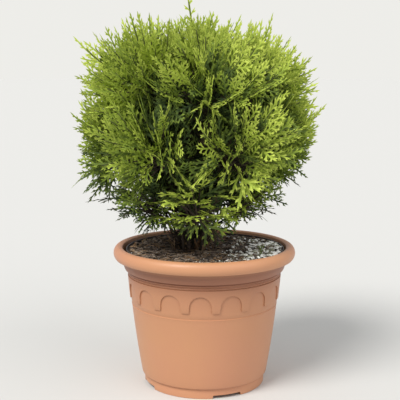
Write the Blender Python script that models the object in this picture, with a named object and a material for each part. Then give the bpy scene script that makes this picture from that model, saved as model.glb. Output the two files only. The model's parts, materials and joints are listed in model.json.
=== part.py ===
"""A globe thuja in a terracotta-coloured planter with an arcade moulded round it.

Metres, +Z up. The origin is on the planter's axis, on the surface that it stands on, and -Y is
the front. The shrub grows in its own dark nursery pot, full of compost, inside the planter. A
short leaning trunk runs up through the crown, boughs fan out from it, and each bough carries one
mass of foliage, which keeps to its own space. Directions round the plant are given in degrees
from the front, towards +X.
"""

import math
import random

import bmesh
import bpy
from mathutils import Vector

SEED = 11
UP = Vector((0.0, 0.0, 1.0))
GAP = 0.0003  # between pieces that touch

# Planter
BAYS = 16
POT_SEGMENTS = 3 * BAYS
WALL = 0.0025
FLOOR_UNDERSIDE = 0.0060
FOOT_RADIUS = 0.0864
FOOT_HEIGHT = 0.0140
FOOT_RING_WIDTH = 0.0046
BODY_FOOT = (0.0903, 0.0155)  # radius, height
BODY_TOP = (0.1083, 0.1578)
BODY_SWELL = 0.0018  # how far the side stands out of a straight cone at mid height
BEAD_STANDS = 0.0010
BEAD_HEIGHT = 0.0058
NECK_RADIUS = 0.1168
NECK_TOP = 0.1800
RIM_CENTRE = (0.1220, 0.1899)
RIM_HALF = (0.0080, 0.0096)
RIM_ARC = (-84.0, 125.0)  # degrees from outward to up, for the rim's outside
CURL_ARC = (165.0, -72.0)  # and for the hollow under it
SIDE_HEIGHTS = (0.055, 0.105)  # where the side's curve is sampled
NOTCHES = 4
NOTCH_TURN = 21.5
NOTCH_SPAN = 27.0
NOTCH_HEIGHT = 0.0048
NOTCH_FLARE = 1.12  # how much wider it is below than above

# Arcade: a raised band whose lower side is cut by round-headed arches
RELIEF = 0.0010
SUNK = 0.0008
ARCH_TURN = -3.0
ARCH_SPAN = 16.8
ARCH_FOOT_HEIGHT = 0.1262
ARCH_HEAD_HEIGHT = 0.1498
ARCH_STEPS = 4
LEG_DRAFT = 0.4  # degrees

# Nursery pot and compost
NURSERY_SEGMENTS = 36
NURSERY_SHIFT = 0.0010  # it stands a little to the right in the planter
NURSERY_WALL = 0.0013
NURSERY_FOOT = (0.0800, 0.0088)
NURSERY_NECK = (0.1063, 0.1880)
NURSERY_LIP = (0.1135, 0.1955)
LIP_WIDTH = 0.0022
LIP_HEIGHT = 0.0045
SOIL_EDGE_HEIGHT = 0.1850
SOIL_CROWN_HEIGHT = 0.1885
SOIL_FLAT_RADIUS = 0.030
SOIL_ROUGHNESS = 0.0014
# its top between the edge and the flat: share of the edge's radius, height
SOIL_RINGS = ((0.82, 0.1862), (0.56, 0.1875))

# Trunk: it leans and runs up through the crown
TRUNK_FOOT = Vector((-0.018, 0.008, SOIL_CROWN_HEIGHT + GAP))
TRUNK_TIP = Vector((-0.012, 0.004, 0.402))
TRUNK_SWAY = 0.006
TRUNK_RADIUS = 0.0074
TRUNK_TIP_RADIUS = 0.0026
ROOT_FLARE = 0.0062
FLARE_HEIGHT = 0.0055
TRUNK_SIDES = 12
TRUNK_RINGS = 9
RING_CROWDING = 1.6  # rings are closer together towards the foot

# Crown: a globe, squarer above than below
CROWN_CENTRE = Vector((-0.003, -0.003, 0.366))
CROWN_RADIUS = 0.177
CROWN_ABOVE = 0.153
CROWN_BELOW = 0.150
SQUARE_ABOVE = 2.7
SQUARE_BELOW = 2.0
# where it isn't round: turn and elevation of the middle of a hollow or a shoulder, its width in
# degrees, and the change of the reach
LEANS = ((90.0, -42.0, 32.0, -0.14), (-90.0, 42.0, 26.0, 0.10))
LOWEST_OVER_RIM = 0.2035
LOWEST_OVER_SOIL = 0.1960
INSIDE_RIM = 0.104
# name, masses, elevation of their tips from the crown's centre, turn of the first; then of their
# boughs, where they leave the trunk as a share of its height, slope there, and share of the way
# to the tips that they reach
TIERS = (
    ("low", 6, -31.0, 0.0, 0.075, 34.0, 0.27),
    ("mid", 6, 8.0, 30.0, 0.19, 42.0, 0.38),
    ("high", 5, 50.0, 12.0, 0.42, 50.0, 0.42),
)
TIER_RISE = 0.055  # boughs of a tier leave the trunk over this share of its height
BOUGH_SIDES = 6
BOUGH_RINGS = 5
BOUGH_RADIUS = 0.0033
BOUGH_TIP_RADIUS = 0.0017
BEND_PLACE = 0.5  # share of a bough's length that it keeps to its first slope
END_TURN = 0.3  # how far its end still looks along the bough, not at the tips
TIPS_DEPTH = 0.96  # masses grow to this share of the crown's reach

# Foliage
SPRAYS = 168
LOWEST_SPRAY = -58.0
CORE_OF_SPACE = 0.90
CORE_OF_CROWN = 0.58
CORE_UNEVEN = 0.16
MIDDLE_PLACE = 0.46  # of a mass, from its bough to the tips
MASS_GAP = 0.0010
LIMB_CLEAR = 0.0022
STEM_RADII = (BOUGH_TIP_RADIUS, 0.0016, 0.0014)
STEM_SIDES = 5
SPRAY_ROOTS = (0.55, 1.0)  # along the stem
SPRAY_DEPTHS = 0.13  # how far inside the crown the least of the tips stay
SPRAY_WIDTH = 0.021  # half of it
STALK_WIDTH = 0.0012
SPRAY_THICK = 0.0024
SPRAY_TEETH = 3
TEETH_START = 0.42
TEETH_STOP = 0.90
BLADE_WAIST = 0.17  # half width between the teeth, as a share of the spray's
TOOTH_TAPER = 0.20
DROOP_BELOW = 0.290  # sprays whose tips are lower than this hang, the others climb
DROOP = (-0.15, 0.45)  # how far the spine's middle stands over a straight line, as a share
CLIMB = (-0.95, -0.45)
ROLL = 40.0
TRIES = 7
# direction, elevation and reach of tips that stand out of the globe: the leader, the tall shoots
# beside it, and the long sprays low down on the left, the right and over the rim
STRAY_WIDTH = 0.014
STRAY_TIPS = (
    (-97.0, 83.5, 1.24),
    (-62.0, 55.0, 1.13),
    (100.0, 56.0, 1.10),
    (-78.0, 36.0, 1.06),
    (-84.0, 4.0, 1.03),
    (-68.0, -20.0, 1.10),
    (-52.0, -52.0, 1.10),
    (75.0, -24.0, 1.05),
    (98.0, 8.0, 1.06),
    (0.0, 12.0, 1.02),
)


def around(turn, radius, height):
    """The point at this radius and height, turned this many degrees from the front towards +X."""
    angle = math.radians(turn)
    return Vector((radius * math.sin(angle), -radius * math.cos(angle), height))


def arc(centre, half, start, stop, steps):
    """Points (radius, height) of an ellipse about centre, by angles in degrees from outward to up."""
    angles = (math.radians(start + (stop - start) * i / steps) for i in range(steps + 1))
    return [(centre[0] + half[0] * math.cos(a), centre[1] + half[1] * math.sin(a)) for a in angles]


def finish(name, colour, roughness):
    """A plain coloured material."""
    material = bpy.data.materials.new(name)
    material.use_nodes = True
    shader = material.node_tree.nodes["Principled BSDF"]
    shader.inputs["Base Color"].default_value = (*colour, 1.0)
    shader.inputs["Roughness"].default_value = roughness
    shader.inputs["Metallic"].default_value = 0.0
    return material


def placed(name, bm, material, smooth_under=None):
    """The object of this name made from a bmesh, in the scene."""
    bmesh.ops.recalc_face_normals(bm, faces=bm.faces)
    mesh = bpy.data.meshes.new(name)
    bm.to_mesh(mesh)
    bm.free()
    mesh.materials.append(material)
    if smooth_under is not None:
        mesh.shade_smooth()
        mesh.set_sharp_from_angle(angle=math.radians(smooth_under))
    obj = bpy.data.objects.new(name, mesh)
    bpy.context.scene.collection.objects.link(obj)
    return obj


def turned(name, outline, segments, material):
    """A solid of revolution from an outline of (radius, height) that starts and ends on the axis."""
    bm = bmesh.new()
    corners = [bm.verts.new((radius, 0.0, height)) for radius, height in outline]
    edges = [bm.edges.new(pair) for pair in zip(corners, corners[1:])]
    bmesh.ops.spin(
        bm, geom=corners + edges, cent=(0, 0, 0), axis=(0, 0, 1), angle=math.tau, steps=segments
    )
    bmesh.ops.remove_doubles(bm, verts=bm.verts, dist=1e-6)
    return placed(name, bm, material, smooth_under=35)


def evaluated(obj):
    """A mesh of the object with its modifiers applied."""
    bpy.context.view_layer.update()
    graph = bpy.context.evaluated_depsgraph_get()
    return bpy.data.meshes.new_from_object(obj.evaluated_get(graph))


def remove(objects):
    for obj in objects:
        bpy.data.objects.remove(obj, do_unlink=True)


def combine(obj, others, operation):
    """Joins or cuts obj with the others by one Boolean, and removes them."""
    group = bpy.data.collections.new("operands")
    bpy.context.scene.collection.children.link(group)
    for other in others:
        bpy.context.scene.collection.objects.unlink(other)
        group.objects.link(other)
    modifier = obj.modifiers.new("combine", "BOOLEAN")
    modifier.operation = operation
    modifier.operand_type = "COLLECTION"
    modifier.collection = group
    modifier.solver = "EXACT"
    mesh = evaluated(obj)
    obj.modifiers.clear()
    obj.data = mesh
    remove(others)
    bpy.data.collections.remove(group)


# Planter


def body_radius(height):
    """The planter's side: a cone that swells a little at mid height."""
    share = (height - BODY_FOOT[1]) / (BODY_TOP[1] - BODY_FOOT[1])
    straight = BODY_FOOT[0] + (BODY_TOP[0] - BODY_FOOT[0]) * share
    return straight + 4 * BODY_SWELL * share * (1 - share)


def pot_outline():
    """The planter's section: under the floor, up the outside, over the rolled rim, down the inside."""
    floor = FLOOR_UNDERSIDE + WALL
    bead = BODY_TOP[1] + BEAD_HEIGHT
    side = [(body_radius(z), z) for z in (BODY_FOOT[1], *SIDE_HEIGHTS, BODY_TOP[1])]
    neck_centre = (BODY_TOP[0] + BEAD_STANDS, NECK_TOP)
    neck_half = (NECK_RADIUS - neck_centre[0], NECK_TOP - bead)
    curl_half = (RIM_HALF[0] - WALL, RIM_HALF[1] - WALL)
    inner_neck = (NECK_RADIUS - WALL, NECK_TOP)
    return (
        [
            (0.0, FLOOR_UNDERSIDE),
            (FOOT_RADIUS - FOOT_RING_WIDTH, FLOOR_UNDERSIDE),
            (FOOT_RADIUS - FOOT_RING_WIDTH, 0.0),
            (FOOT_RADIUS, 0.0),
            (FOOT_RADIUS, FOOT_HEIGHT),
        ]
        + side
        + [(BODY_TOP[0] + BEAD_STANDS, BODY_TOP[1] + BEAD_HEIGHT / 4)]
        + arc(neck_centre, neck_half, -90, 0, 2)
        + arc(RIM_CENTRE, curl_half, *CURL_ARC, 3)
        + arc(RIM_CENTRE, RIM_HALF, *RIM_ARC, 6)
        + [inner_neck, (BODY_TOP[0] - WALL, BODY_TOP[1])]
        + [(FOOT_RADIUS - WALL, floor), (0.0, floor)]
    )


def arcade_columns():
    """(turn, height of the band's lower edge) all the way round: piers between round arches."""
    bay = 360.0 / BAYS
    half = ARCH_SPAN / 2
    spring = ARCH_HEAD_HEIGHT - math.radians(half) * body_radius(ARCH_HEAD_HEIGHT)
    columns = []
    for i in range(BAYS):
        middle = ARCH_TURN + bay * i
        columns.append((middle - half, ARCH_FOOT_HEIGHT))
        for step in range(ARCH_STEPS + 1):
            angle = math.pi * (1 - step / ARCH_STEPS)
            turn = middle + (half - LEG_DRAFT) * math.cos(angle)
            columns.append((turn, spring + (ARCH_HEAD_HEIGHT - spring) * math.sin(angle)))
        columns.append((middle + half, ARCH_FOOT_HEIGHT))
    return columns


def make_arcade(material):
    """The raised band, as a closed ring sunk a little into the planter's side."""
    bm = bmesh.new()
    rings = []
    for turn, low in arcade_columns():
        top = BODY_TOP[1] + BEAD_HEIGHT / 8
        corners = ((RELIEF, low), (RELIEF, top), (-SUNK, top), (-SUNK, low))
        rings.append([bm.verts.new(around(turn, body_radius(z) + out, z)) for out, z in corners])
    for ring, following in zip(rings, rings[1:] + rings[:1]):
        for k in range(4):
            bm.faces.new((ring[k], ring[(k + 1) % 4], following[(k + 1) % 4], following[k]))
    return placed("arcade", bm, material)


def make_notch(turn, material):
    """A cutter for one gap in the foot ring, wider below than above."""
    bm = bmesh.new()
    bmesh.ops.create_cube(bm, size=1.0)
    width = 2 * FOOT_RADIUS * math.sin(math.radians(NOTCH_SPAN / 2))
    for corner in bm.verts:
        low = corner.co.z < 0
        corner.co.x *= width * (NOTCH_FLARE if low else 1.0)
        corner.co.y = -FOOT_RADIUS + corner.co.y * 4 * FOOT_RING_WIDTH
        corner.co.z = -NOTCH_HEIGHT if low else NOTCH_HEIGHT
    cutter = placed("notch", bm, material)
    cutter.rotation_euler.z = math.radians(turn)
    return cutter


def make_pot(material):
    pot = turned("pot", pot_outline(), POT_SEGMENTS, material)
    combine(pot, [make_arcade(material)], "UNION")
    notches = [make_notch(NOTCH_TURN + 360 / NOTCHES * i, material) for i in range(NOTCHES)]
    combine(pot, notches, "DIFFERENCE")


# Nursery pot and compost


def nursery_inside(height):
    """The nursery pot's inner radius at this height."""
    share = (height - NURSERY_FOOT[1]) / (NURSERY_NECK[1] - NURSERY_FOOT[1])
    return NURSERY_FOOT[0] + (NURSERY_NECK[0] - NURSERY_FOOT[0]) * share - NURSERY_WALL


def make_nursery_pot(material):
    """A thin tapered container with a stepped lip, open above."""
    floor = NURSERY_FOOT[1] + NURSERY_WALL
    ledge = NURSERY_LIP[1] - LIP_HEIGHT
    outline = [
        (0.0, NURSERY_FOOT[1]),
        NURSERY_FOOT,
        NURSERY_NECK,
        (NURSERY_LIP[0], ledge),
        NURSERY_LIP,
        (NURSERY_LIP[0] - LIP_WIDTH, NURSERY_LIP[1]),
        (NURSERY_LIP[0] - LIP_WIDTH, ledge + NURSERY_WALL),
        (nursery_inside(NURSERY_NECK[1]), NURSERY_NECK[1]),
        (nursery_inside(floor), floor),
        (0.0, floor),
    ]
    pot = turned("nursery_pot", outline, NURSERY_SEGMENTS, material)
    pot.location.x = NURSERY_SHIFT


def make_soil(material):
    """The compost: it fills the nursery pot, with an uneven top that is flat under the trunk."""
    floor = NURSERY_FOOT[1] + NURSERY_WALL + GAP
    edge = nursery_inside(SOIL_EDGE_HEIGHT) - 2 * GAP
    outline = [
        (0.0, floor),
        (nursery_inside(floor) - 2 * GAP, floor),
        (edge, SOIL_EDGE_HEIGHT),
        *((share * edge, height) for share, height in SOIL_RINGS),
        (SOIL_FLAT_RADIUS, SOIL_CROWN_HEIGHT),
        (0.0, SOIL_CROWN_HEIGHT),
    ]
    soil = turned("soil", outline, NURSERY_SEGMENTS, material)
    soil.location.x = NURSERY_SHIFT
    draw = random.Random(SEED)
    for corner in soil.data.vertices:
        radius = math.hypot(corner.co.x, corner.co.y)
        if corner.co.z > SOIL_EDGE_HEIGHT + GAP and radius > SOIL_FLAT_RADIUS + GAP:
            corner.co.z += draw.uniform(-SOIL_ROUGHNESS, SOIL_ROUGHNESS)


# Limbs


def side_ways(direction):
    """Two unit vectors square to a direction and to each other."""
    across = direction.cross(Vector((0.0, 0.0, 1.0)))
    if across.length < 0.2:
        across = direction.cross(Vector((0.0, 1.0, 0.0)))
    across.normalize()
    return across, across.cross(direction).normalized()


def limb(name, path, radii, sides, material, faces=None):
    """A tapering limb along a path of points; faces are the directions its rings look in."""
    if faces is None:
        faces = [b - a for a, b in zip(path[:1] + path, path[1:] + path[-1:])]
    bm = bmesh.new()
    rings = []
    for point, radius, face in zip(path, radii, faces):
        across, over = side_ways(face.normalized())
        angles = (math.tau * k / sides for k in range(sides))
        ring = [point + radius * (math.cos(a) * across + math.sin(a) * over) for a in angles]
        rings.append([bm.verts.new(co) for co in ring])
    for ring, following in zip(rings, rings[1:]):
        for k in range(sides):
            bm.faces.new((ring[k], ring[(k + 1) % sides], following[(k + 1) % sides], following[k]))
    bm.faces.new(rings[0])
    bm.faces.new(rings[-1])
    return placed(name, bm, material, smooth_under=50)


def trunk_point(share):
    """The trunk's middle at a share of its height: a lean with a gentle sway."""
    sway = TRUNK_SWAY * math.sin(math.pi * share)
    return TRUNK_FOOT.lerp(TRUNK_TIP, share) + Vector((-sway, sway / 2, 0.0))


def trunk_radius(share):
    """Taper from foot to tip, and the flare where the roots start."""
    rise = share * (TRUNK_TIP.z - TRUNK_FOOT.z)
    taper = TRUNK_RADIUS + (TRUNK_TIP_RADIUS - TRUNK_RADIUS) * share
    return taper + ROOT_FLARE * math.exp(-rise / FLARE_HEIGHT)


def make_trunk(material, name="trunk", thicker=0.0):
    """The whole trunk; a thicker copy is the cutter that shapes the boughs' roots."""
    shares = [(i / (TRUNK_RINGS - 1)) ** RING_CROWDING for i in range(TRUNK_RINGS)]
    path = [trunk_point(share) for share in shares]
    radii = [trunk_radius(share) + thicker for share in shares]
    return limb(name, path, radii, TRUNK_SIDES, material, [UP] * TRUNK_RINGS)


class Bough:
    """One limb: it leaves the trunk at a slope and bends towards the foliage that it carries."""

    def __init__(self, name, turn, root_share, slope, tips, length_share):
        self.name = name
        self.root = trunk_point(root_share)
        rise = math.radians(slope)
        leaves = around(turn, math.cos(rise), math.sin(rise))
        self.tip = self.root.lerp(tips, length_share)
        self.bend = self.root + leaves * (self.tip - self.root).length * BEND_PLACE
        self.ends = (tips - self.tip).lerp(self.tip - self.bend, END_TURN).normalized()

    def point(self, share):
        first = self.root.lerp(self.bend, share)
        return first.lerp(self.bend.lerp(self.tip, share), share)

    def radius(self, share):
        return BOUGH_RADIUS + (BOUGH_TIP_RADIUS - BOUGH_RADIUS) * share

    def make(self, trunk_cutter_of, material):
        shares = [i / (BOUGH_RINGS - 1) for i in range(BOUGH_RINGS)]
        path = [self.point(share) for share in shares]
        faces = [b - a for a, b in zip(path, path[1:])] + [self.ends]
        obj = limb(self.name, path, [self.radius(s) for s in shares], BOUGH_SIDES, material, faces)
        combine(obj, [trunk_cutter_of()], "DIFFERENCE")
        keep_largest_shell(obj)


# Foliage


def crown_reach(direction):
    """How far the crown goes from its centre in a direction."""
    level = math.hypot(direction.x, direction.y) / CROWN_RADIUS
    above = direction.z > 0
    power = SQUARE_ABOVE if above else SQUARE_BELOW
    upright = abs(direction.z) / (CROWN_ABOVE if above else CROWN_BELOW)
    reach = (level**power + upright**power) ** (-1 / power)
    for turn, elevation, width, change in LEANS:
        rise = math.radians(elevation)
        middle = around(turn, math.cos(rise), math.sin(rise))
        reach *= 1 + change * math.exp(-((math.degrees(direction.angle(middle)) / width) ** 2))
    return reach


def crown_point(turn, elevation, share=1.0):
    """A point at a share of the way from the crown's centre to its surface."""
    rise = math.radians(elevation)
    direction = around(turn, math.cos(rise), math.sin(rise))
    return CROWN_CENTRE + direction * crown_reach(direction) * share


def run_in_crown(start, direction):
    """The distance from start to the crown's surface, by halving."""
    near, far = 0.0, 2 * CROWN_RADIUS
    for _ in range(20):
        middle = (near + far) / 2
        offset = start + direction * middle - CROWN_CENTRE
        inside = offset.length < crown_reach(offset.normalized())
        near, far = (middle, far) if inside else (near, middle)
    return near


class Space:
    """The convex space that one mass keeps to, as planes, and the points on limbs that it avoids."""

    def __init__(self):
        self.planes = []
        self.limb_points = []

    def stay_below(self, normal, point):
        self.planes.append((normal, normal.dot(point)))

    def holds(self, point):
        """Whether a point is inside, clear of the limbs, the rim and the soil."""
        if any(normal.dot(point) > limit for normal, limit in self.planes):
            return False
        lowest = LOWEST_OVER_SOIL if math.hypot(point.x, point.y) < INSIDE_RIM else LOWEST_OVER_RIM
        if point.z < lowest:
            return False
        return all((point - q).length > radius + LIMB_CLEAR for q, radius in self.limb_points)

    def run(self, start, direction):
        """The distance from start to the nearest wall of the space."""
        runs = [2 * CROWN_RADIUS]
        for normal, limit in self.planes:
            speed = normal.dot(direction)
            if speed > 1e-9:
                runs.append(max(0.0, (limit - normal.dot(start)) / speed))
        for q, radius in self.limb_points:
            towards = q - start
            speed = towards.normalized().dot(direction)
            if speed > 1e-9:
                runs.append(max(0.0, (towards.length - radius - 2 * LIMB_CLEAR) / speed))
        return min(runs)


class Mass:
    """One mass of foliage: a stem from its bough's tip, a core round it, and sprays out of that."""

    def __init__(self, name, foot, grows, tips):
        self.name = name
        self.foot = foot + grows * 1.2 * GAP
        self.grows = grows
        self.middle = self.foot.lerp(tips, MIDDLE_PLACE)
        self.space = Space()
        self.space.stay_below(-grows, self.foot)
        self.sprays = []

    def keep_from(self, other):
        """The wall half way between this mass and another."""
        normal = (other.middle - self.middle).normalized()
        halfway = (self.middle + other.middle) / 2
        self.space.stay_below(normal, halfway - normal * MASS_GAP / 2)

    def make_core(self, draw, material):
        """The dense inside: a rough ball that fills its space but stays short of the tips."""
        bm = bmesh.new()
        bmesh.ops.create_icosphere(bm, subdivisions=2, radius=1.0)
        for corner in bm.verts:
            out = corner.co.normalized()
            room = self.space.run(self.middle, out) * CORE_OF_SPACE
            skin = run_in_crown(self.middle, out) * CORE_OF_CROWN
            corner.co = self.middle + out * min(room, skin) * draw.uniform(1 - CORE_UNEVEN, 1)
        return placed(self.name, bm, material, smooth_under=30)

    def make_stem(self, material):
        path = [self.foot, self.foot.lerp(self.middle, 0.5), self.middle]
        faces = [self.grows, self.middle - self.foot, self.middle - self.foot]
        return limb("stem", path, STEM_RADII, STEM_SIDES, material, faces)

    def add_spray(self, draw, tip, width, material):
        """The widest spray to a tip, of some tries, that keeps inside the space."""
        root = self.foot.lerp(self.middle, draw.uniform(*SPRAY_ROOTS))
        droops = tip.z < DROOP_BELOW
        for narrower in (1.0, 0.85, 0.7, 0.55):
            for _ in range(TRIES):
                lean = draw.uniform(*(DROOP if droops else CLIMB)) * narrower
                blade = Blade(root, tip, draw.uniform(-ROLL, ROLL), width * narrower, lean)
                if all(self.space.holds(co) for co in blade.outer_points()):
                    self.sprays.append(blade.make(material))
                    return

    def make(self, draw, material):
        core = self.make_core(draw, material)
        combine(core, [self.make_stem(material)] + self.sprays, "UNION")
        keep_largest_shell(core)


class Blade:
    """A flat spray: a stalk, then a toothed blade whose teeth point forward, on a bent spine."""

    def __init__(self, root, tip, roll, width, lean):
        self.root = root
        self.along = tip - root
        across, over = side_ways(self.along.normalized())
        turn = math.radians(roll)
        self.across = across * math.cos(turn) + over * math.sin(turn)
        self.over = self.along.normalized().cross(self.across)
        self.width = width
        ahead = self.along.normalized()
        self.rise = (UP - ahead * ahead.z) * lean * self.along.length * 2
        self.tip = self.at(1.0, 0.0, 0.0)

    def at(self, share, out, up):
        """A point at a share of the spine, out across the blade and up from its middle."""
        spine = self.root + self.along * share + self.rise * (share - share * share)
        return spine + self.across * out + self.over * up

    def stations(self):
        """(share, half width, half thickness) from the root to the last pair of teeth."""
        found = [(0.0, STALK_WIDTH, SPRAY_THICK / 2)]
        for i in range(SPRAY_TEETH + 1):
            share = TEETH_START + (TEETH_STOP - TEETH_START) * i / SPRAY_TEETH
            taper = 1.2 - share
            found.append((share, self.width * BLADE_WAIST * taper, SPRAY_THICK / 2 * taper))
        return found

    def tooth_tips(self):
        """The tips of each pair of teeth: they point forward, and get shorter along the blade."""
        step = (TEETH_STOP - TEETH_START) / SPRAY_TEETH
        for i in range(SPRAY_TEETH):
            share = min(TEETH_START + step * (i + 1.5), (1 + TEETH_STOP) / 2)
            reach = self.width * (1 - TOOTH_TAPER * i)
            yield [self.at(share, side * reach, 0.0) for side in (-1, 1)]

    def outer_points(self):
        yield self.tip
        for pair in self.tooth_tips():
            yield from pair
        for i in range(4, 10):
            yield self.at(i / 10, 0.0, 0.0)

    def make(self, material):
        bm = bmesh.new()
        rings = []
        for share, half, thick in self.stations():
            corners = ((-half, -thick), (half, -thick), (half, thick), (-half, thick))
            rings.append([bm.verts.new(self.at(share, out, up)) for out, up in corners])
        bm.faces.new(rings[0])
        for i, (ring, following) in enumerate(zip(rings, rings[1:])):
            for k in (0, 2) if i else range(4):
                n = (k + 1) % 4
                bm.faces.new((ring[k], ring[n], following[n], following[k]))
        for (left, right), ring, following in zip(self.tooth_tips(), rings[1:], rings[2:]):
            for point, k in ((left, 3), (right, 1)):
                n = (k + 1) % 4
                loop = (ring[k], ring[n], following[n], following[k])
                tip = bm.verts.new(point)
                for a, b in zip(loop, loop[1:] + loop[:1]):
                    bm.faces.new((a, b, tip))
        tip = bm.verts.new(self.tip)
        for a, b in zip(rings[-1], rings[-1][1:] + rings[-1][:1]):
            bm.faces.new((a, b, tip))
        return placed("spray", bm, material)


def keep_largest_shell(obj):
    """Drops loose scraps and fills sealed hollows, which are shells of their own."""
    bm = bmesh.new()
    bm.from_mesh(obj.data)
    shells = []
    left = set(bm.verts)
    while left:
        shell, edge = set(), [left.pop()]
        while edge:
            corner = edge.pop()
            shell.add(corner)
            near = {e.other_vert(corner) for e in corner.link_edges} & left
            left -= near
            edge.extend(near)
        shells.append(shell)
    shells.sort(key=len)
    for shell in shells[:-1]:
        bmesh.ops.delete(bm, geom=list(shell), context="VERTS")
    bm.to_mesh(obj.data)
    bm.free()


def spread_tips():
    """(turn, elevation, reach, width) of the stray sprays, and of those evenly over the crown."""
    for turn, elevation, reach in STRAY_TIPS:
        yield turn, elevation, reach, STRAY_WIDTH
    golden = 180 * (3 - 5**0.5)
    for i in range(SPRAYS):
        elevation = math.degrees(math.asin(1 - 2 * (i + 0.5) / SPRAYS))
        if elevation > LOWEST_SPRAY:
            yield golden * i, elevation, 1.0, SPRAY_WIDTH


def plan_boughs():
    """A bough for each mass of each tier, and the point on the crown that it grows towards."""
    planned = []
    for tier, count, elevation, turn, root, slope, length in TIERS:
        for i in range(count):
            heading = turn + 360 / count * i
            tips = crown_point(heading, elevation, TIPS_DEPTH)
            share = root + TIER_RISE * (2 * i % count) / count
            name = f"{tier}_{i + 1}"
            planned.append((Bough("bough_" + name, heading, share, slope, tips, length), tips))
    return planned


def make_crown(bark, foliage):
    """The trunk, the boughs and the masses that they carry."""
    draw = random.Random(SEED)
    trunk = make_trunk(bark)
    planned = plan_boughs()
    top_tips = crown_point(0.0, 90.0, TIPS_DEPTH)
    masses = [Mass("foliage_top", TRUNK_TIP, UP, top_tips)]
    for bough, tips in planned:
        masses.append(Mass(bough.name.replace("bough", "foliage"), bough.tip, bough.ends, tips))
    limb_points = {"trunk": [(trunk_point(i / 60), trunk_radius(i / 60)) for i in range(61)]}
    for bough, _ in planned:
        limb_points[bough.name] = [(bough.point(i / 30), bough.radius(i / 30)) for i in range(31)]
    for mass in masses:
        own = "trunk" if mass.name == "foliage_top" else mass.name.replace("foliage", "bough")
        for name, points in limb_points.items():
            if name != own:
                mass.space.limb_points.extend(points)
        for other in masses:
            if other is not mass:
                mass.keep_from(other)
    for bough, _ in planned:
        bough.make(lambda: make_trunk(bark, "cutter", thicker=GAP), bark)
    for turn, elevation, reach, width in spread_tips():
        inside = SPRAY_DEPTHS * draw.random() ** 2
        tip = crown_point(turn, elevation, reach - inside)
        nearest = min(masses, key=lambda mass: (mass.middle - tip).length)
        nearest.add_spray(draw, tip, width, foliage)
    for mass in masses:
        mass.make(draw, foliage)


def main():
    remove(list(bpy.data.objects))
    make_pot(finish("terracotta_plastic", (0.62, 0.30, 0.17), 0.45))
    make_nursery_pot(finish("dark_plastic", (0.035, 0.026, 0.022), 0.5))
    make_soil(finish("compost", (0.050, 0.032, 0.022), 0.95))
    make_crown(finish("bark", (0.16, 0.10, 0.065), 0.9), finish("foliage", (0.20, 0.36, 0.04), 0.6))


if __name__ == "__main__":
    main()
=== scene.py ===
"""A potted globe thuja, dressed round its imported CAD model.

The planter, the nursery pot, the compost, the limbs and every spray of the crown are modelled
here in metres, in the CAD model's own frame: +Z up, the origin under the middle of the planter
and -Y the front. Turns round the plant are in degrees from the front, towards +X.
"""

import json
import math
import random

import bmesh
import bpy
import numpy as np
from bpy.props import FloatProperty, FloatVectorProperty, IntProperty, PointerProperty
from mathutils import Matrix, Vector, noise


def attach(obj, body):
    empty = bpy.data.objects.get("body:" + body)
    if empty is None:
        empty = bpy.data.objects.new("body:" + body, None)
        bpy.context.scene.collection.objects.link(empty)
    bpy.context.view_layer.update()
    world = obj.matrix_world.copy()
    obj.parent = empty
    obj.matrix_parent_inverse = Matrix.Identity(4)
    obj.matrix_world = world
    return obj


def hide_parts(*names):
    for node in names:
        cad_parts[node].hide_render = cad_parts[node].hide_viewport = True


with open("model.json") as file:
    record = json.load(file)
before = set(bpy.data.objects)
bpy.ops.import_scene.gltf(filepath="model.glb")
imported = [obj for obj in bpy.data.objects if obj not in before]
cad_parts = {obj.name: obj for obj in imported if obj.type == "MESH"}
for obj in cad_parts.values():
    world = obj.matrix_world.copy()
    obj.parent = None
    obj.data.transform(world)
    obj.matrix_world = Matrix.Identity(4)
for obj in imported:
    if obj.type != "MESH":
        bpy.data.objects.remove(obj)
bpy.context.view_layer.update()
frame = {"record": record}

bl_info = {
    "name": "Potted Globe Thuja",
    "version": (1, 0, 0),
    "blender": (4, 5, 0),
    "location": "View3D > Sidebar > Thuja",
    "description": "Models a globe thuja in a terracotta planter round its CAD frame",
    "category": "Object",
}

UP = Vector((0.0, 0.0, 1.0))
COLOURS = {entry["slot"]: entry["base_color"][:3] for entry in frame["record"]["materials"]}

# Planter: pairs are a radius and a height of its section
FOOT_RADIUS = 0.0864
FOOT_HEIGHT = 0.0140
FOOT_RING_WIDTH = 0.0046
FLOOR_UNDERSIDE = 0.0060
FLOOR_RINGS = (0.052, 0.024)
WALL = 0.0025
SOFT_EDGE = 0.0006
BODY_FOOT = (0.0903, 0.0155)
BODY_TOP = (0.1083, 0.1578)
BODY_SWELL = 0.0018
GROOVE_HEIGHT = 0.1172
NECK_FOOT = (0.1093, 0.1636)
NECK_RADIUS = 0.1168
NECK_TOP = 0.1800
BEADS = (0.1598, 0.1643)
BEAD_RADIUS = 0.0009
RIM_CENTRE = (0.1220, 0.1899)
RIM_HALF = (0.0080, 0.0096)
NOTCHES = 4
NOTCH_TURN = 21.5
NOTCH_SPAN = 27.0
NOTCH_HEIGHT = 0.0048
NOTCH_FLARE = 1.12

# Arcade
BAYS = 16
ARCH_TURN = -3.0
ARCH_SPAN = 16.8
ARCH_FOOT = 0.1262
ARCH_HEAD = 0.1498
ARCH_STEPS = 22
LEG_DRAFT = 0.4
BAND_SUNK = 0.0006
BAND_ROWS = 5

# Nursery pot and compost, which is heaped up to (edge radius, height)
NURSERY_SHIFT = 0.0010
NURSERY_WALL = 0.0013
NURSERY_FOOT = (0.0800, 0.0088)
NURSERY_NECK = (0.1063, 0.1880)
NURSERY_LIP = (0.1135, 0.1955)
LIP_WIDTH = 0.0022
LIP_HEIGHT = 0.0045
HEAPED = (0.1108, 0.1936)
SOIL_RINGS = 58
SPRIG = (0.078, -0.050)  # where a green sprig comes up beside the shrub

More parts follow.
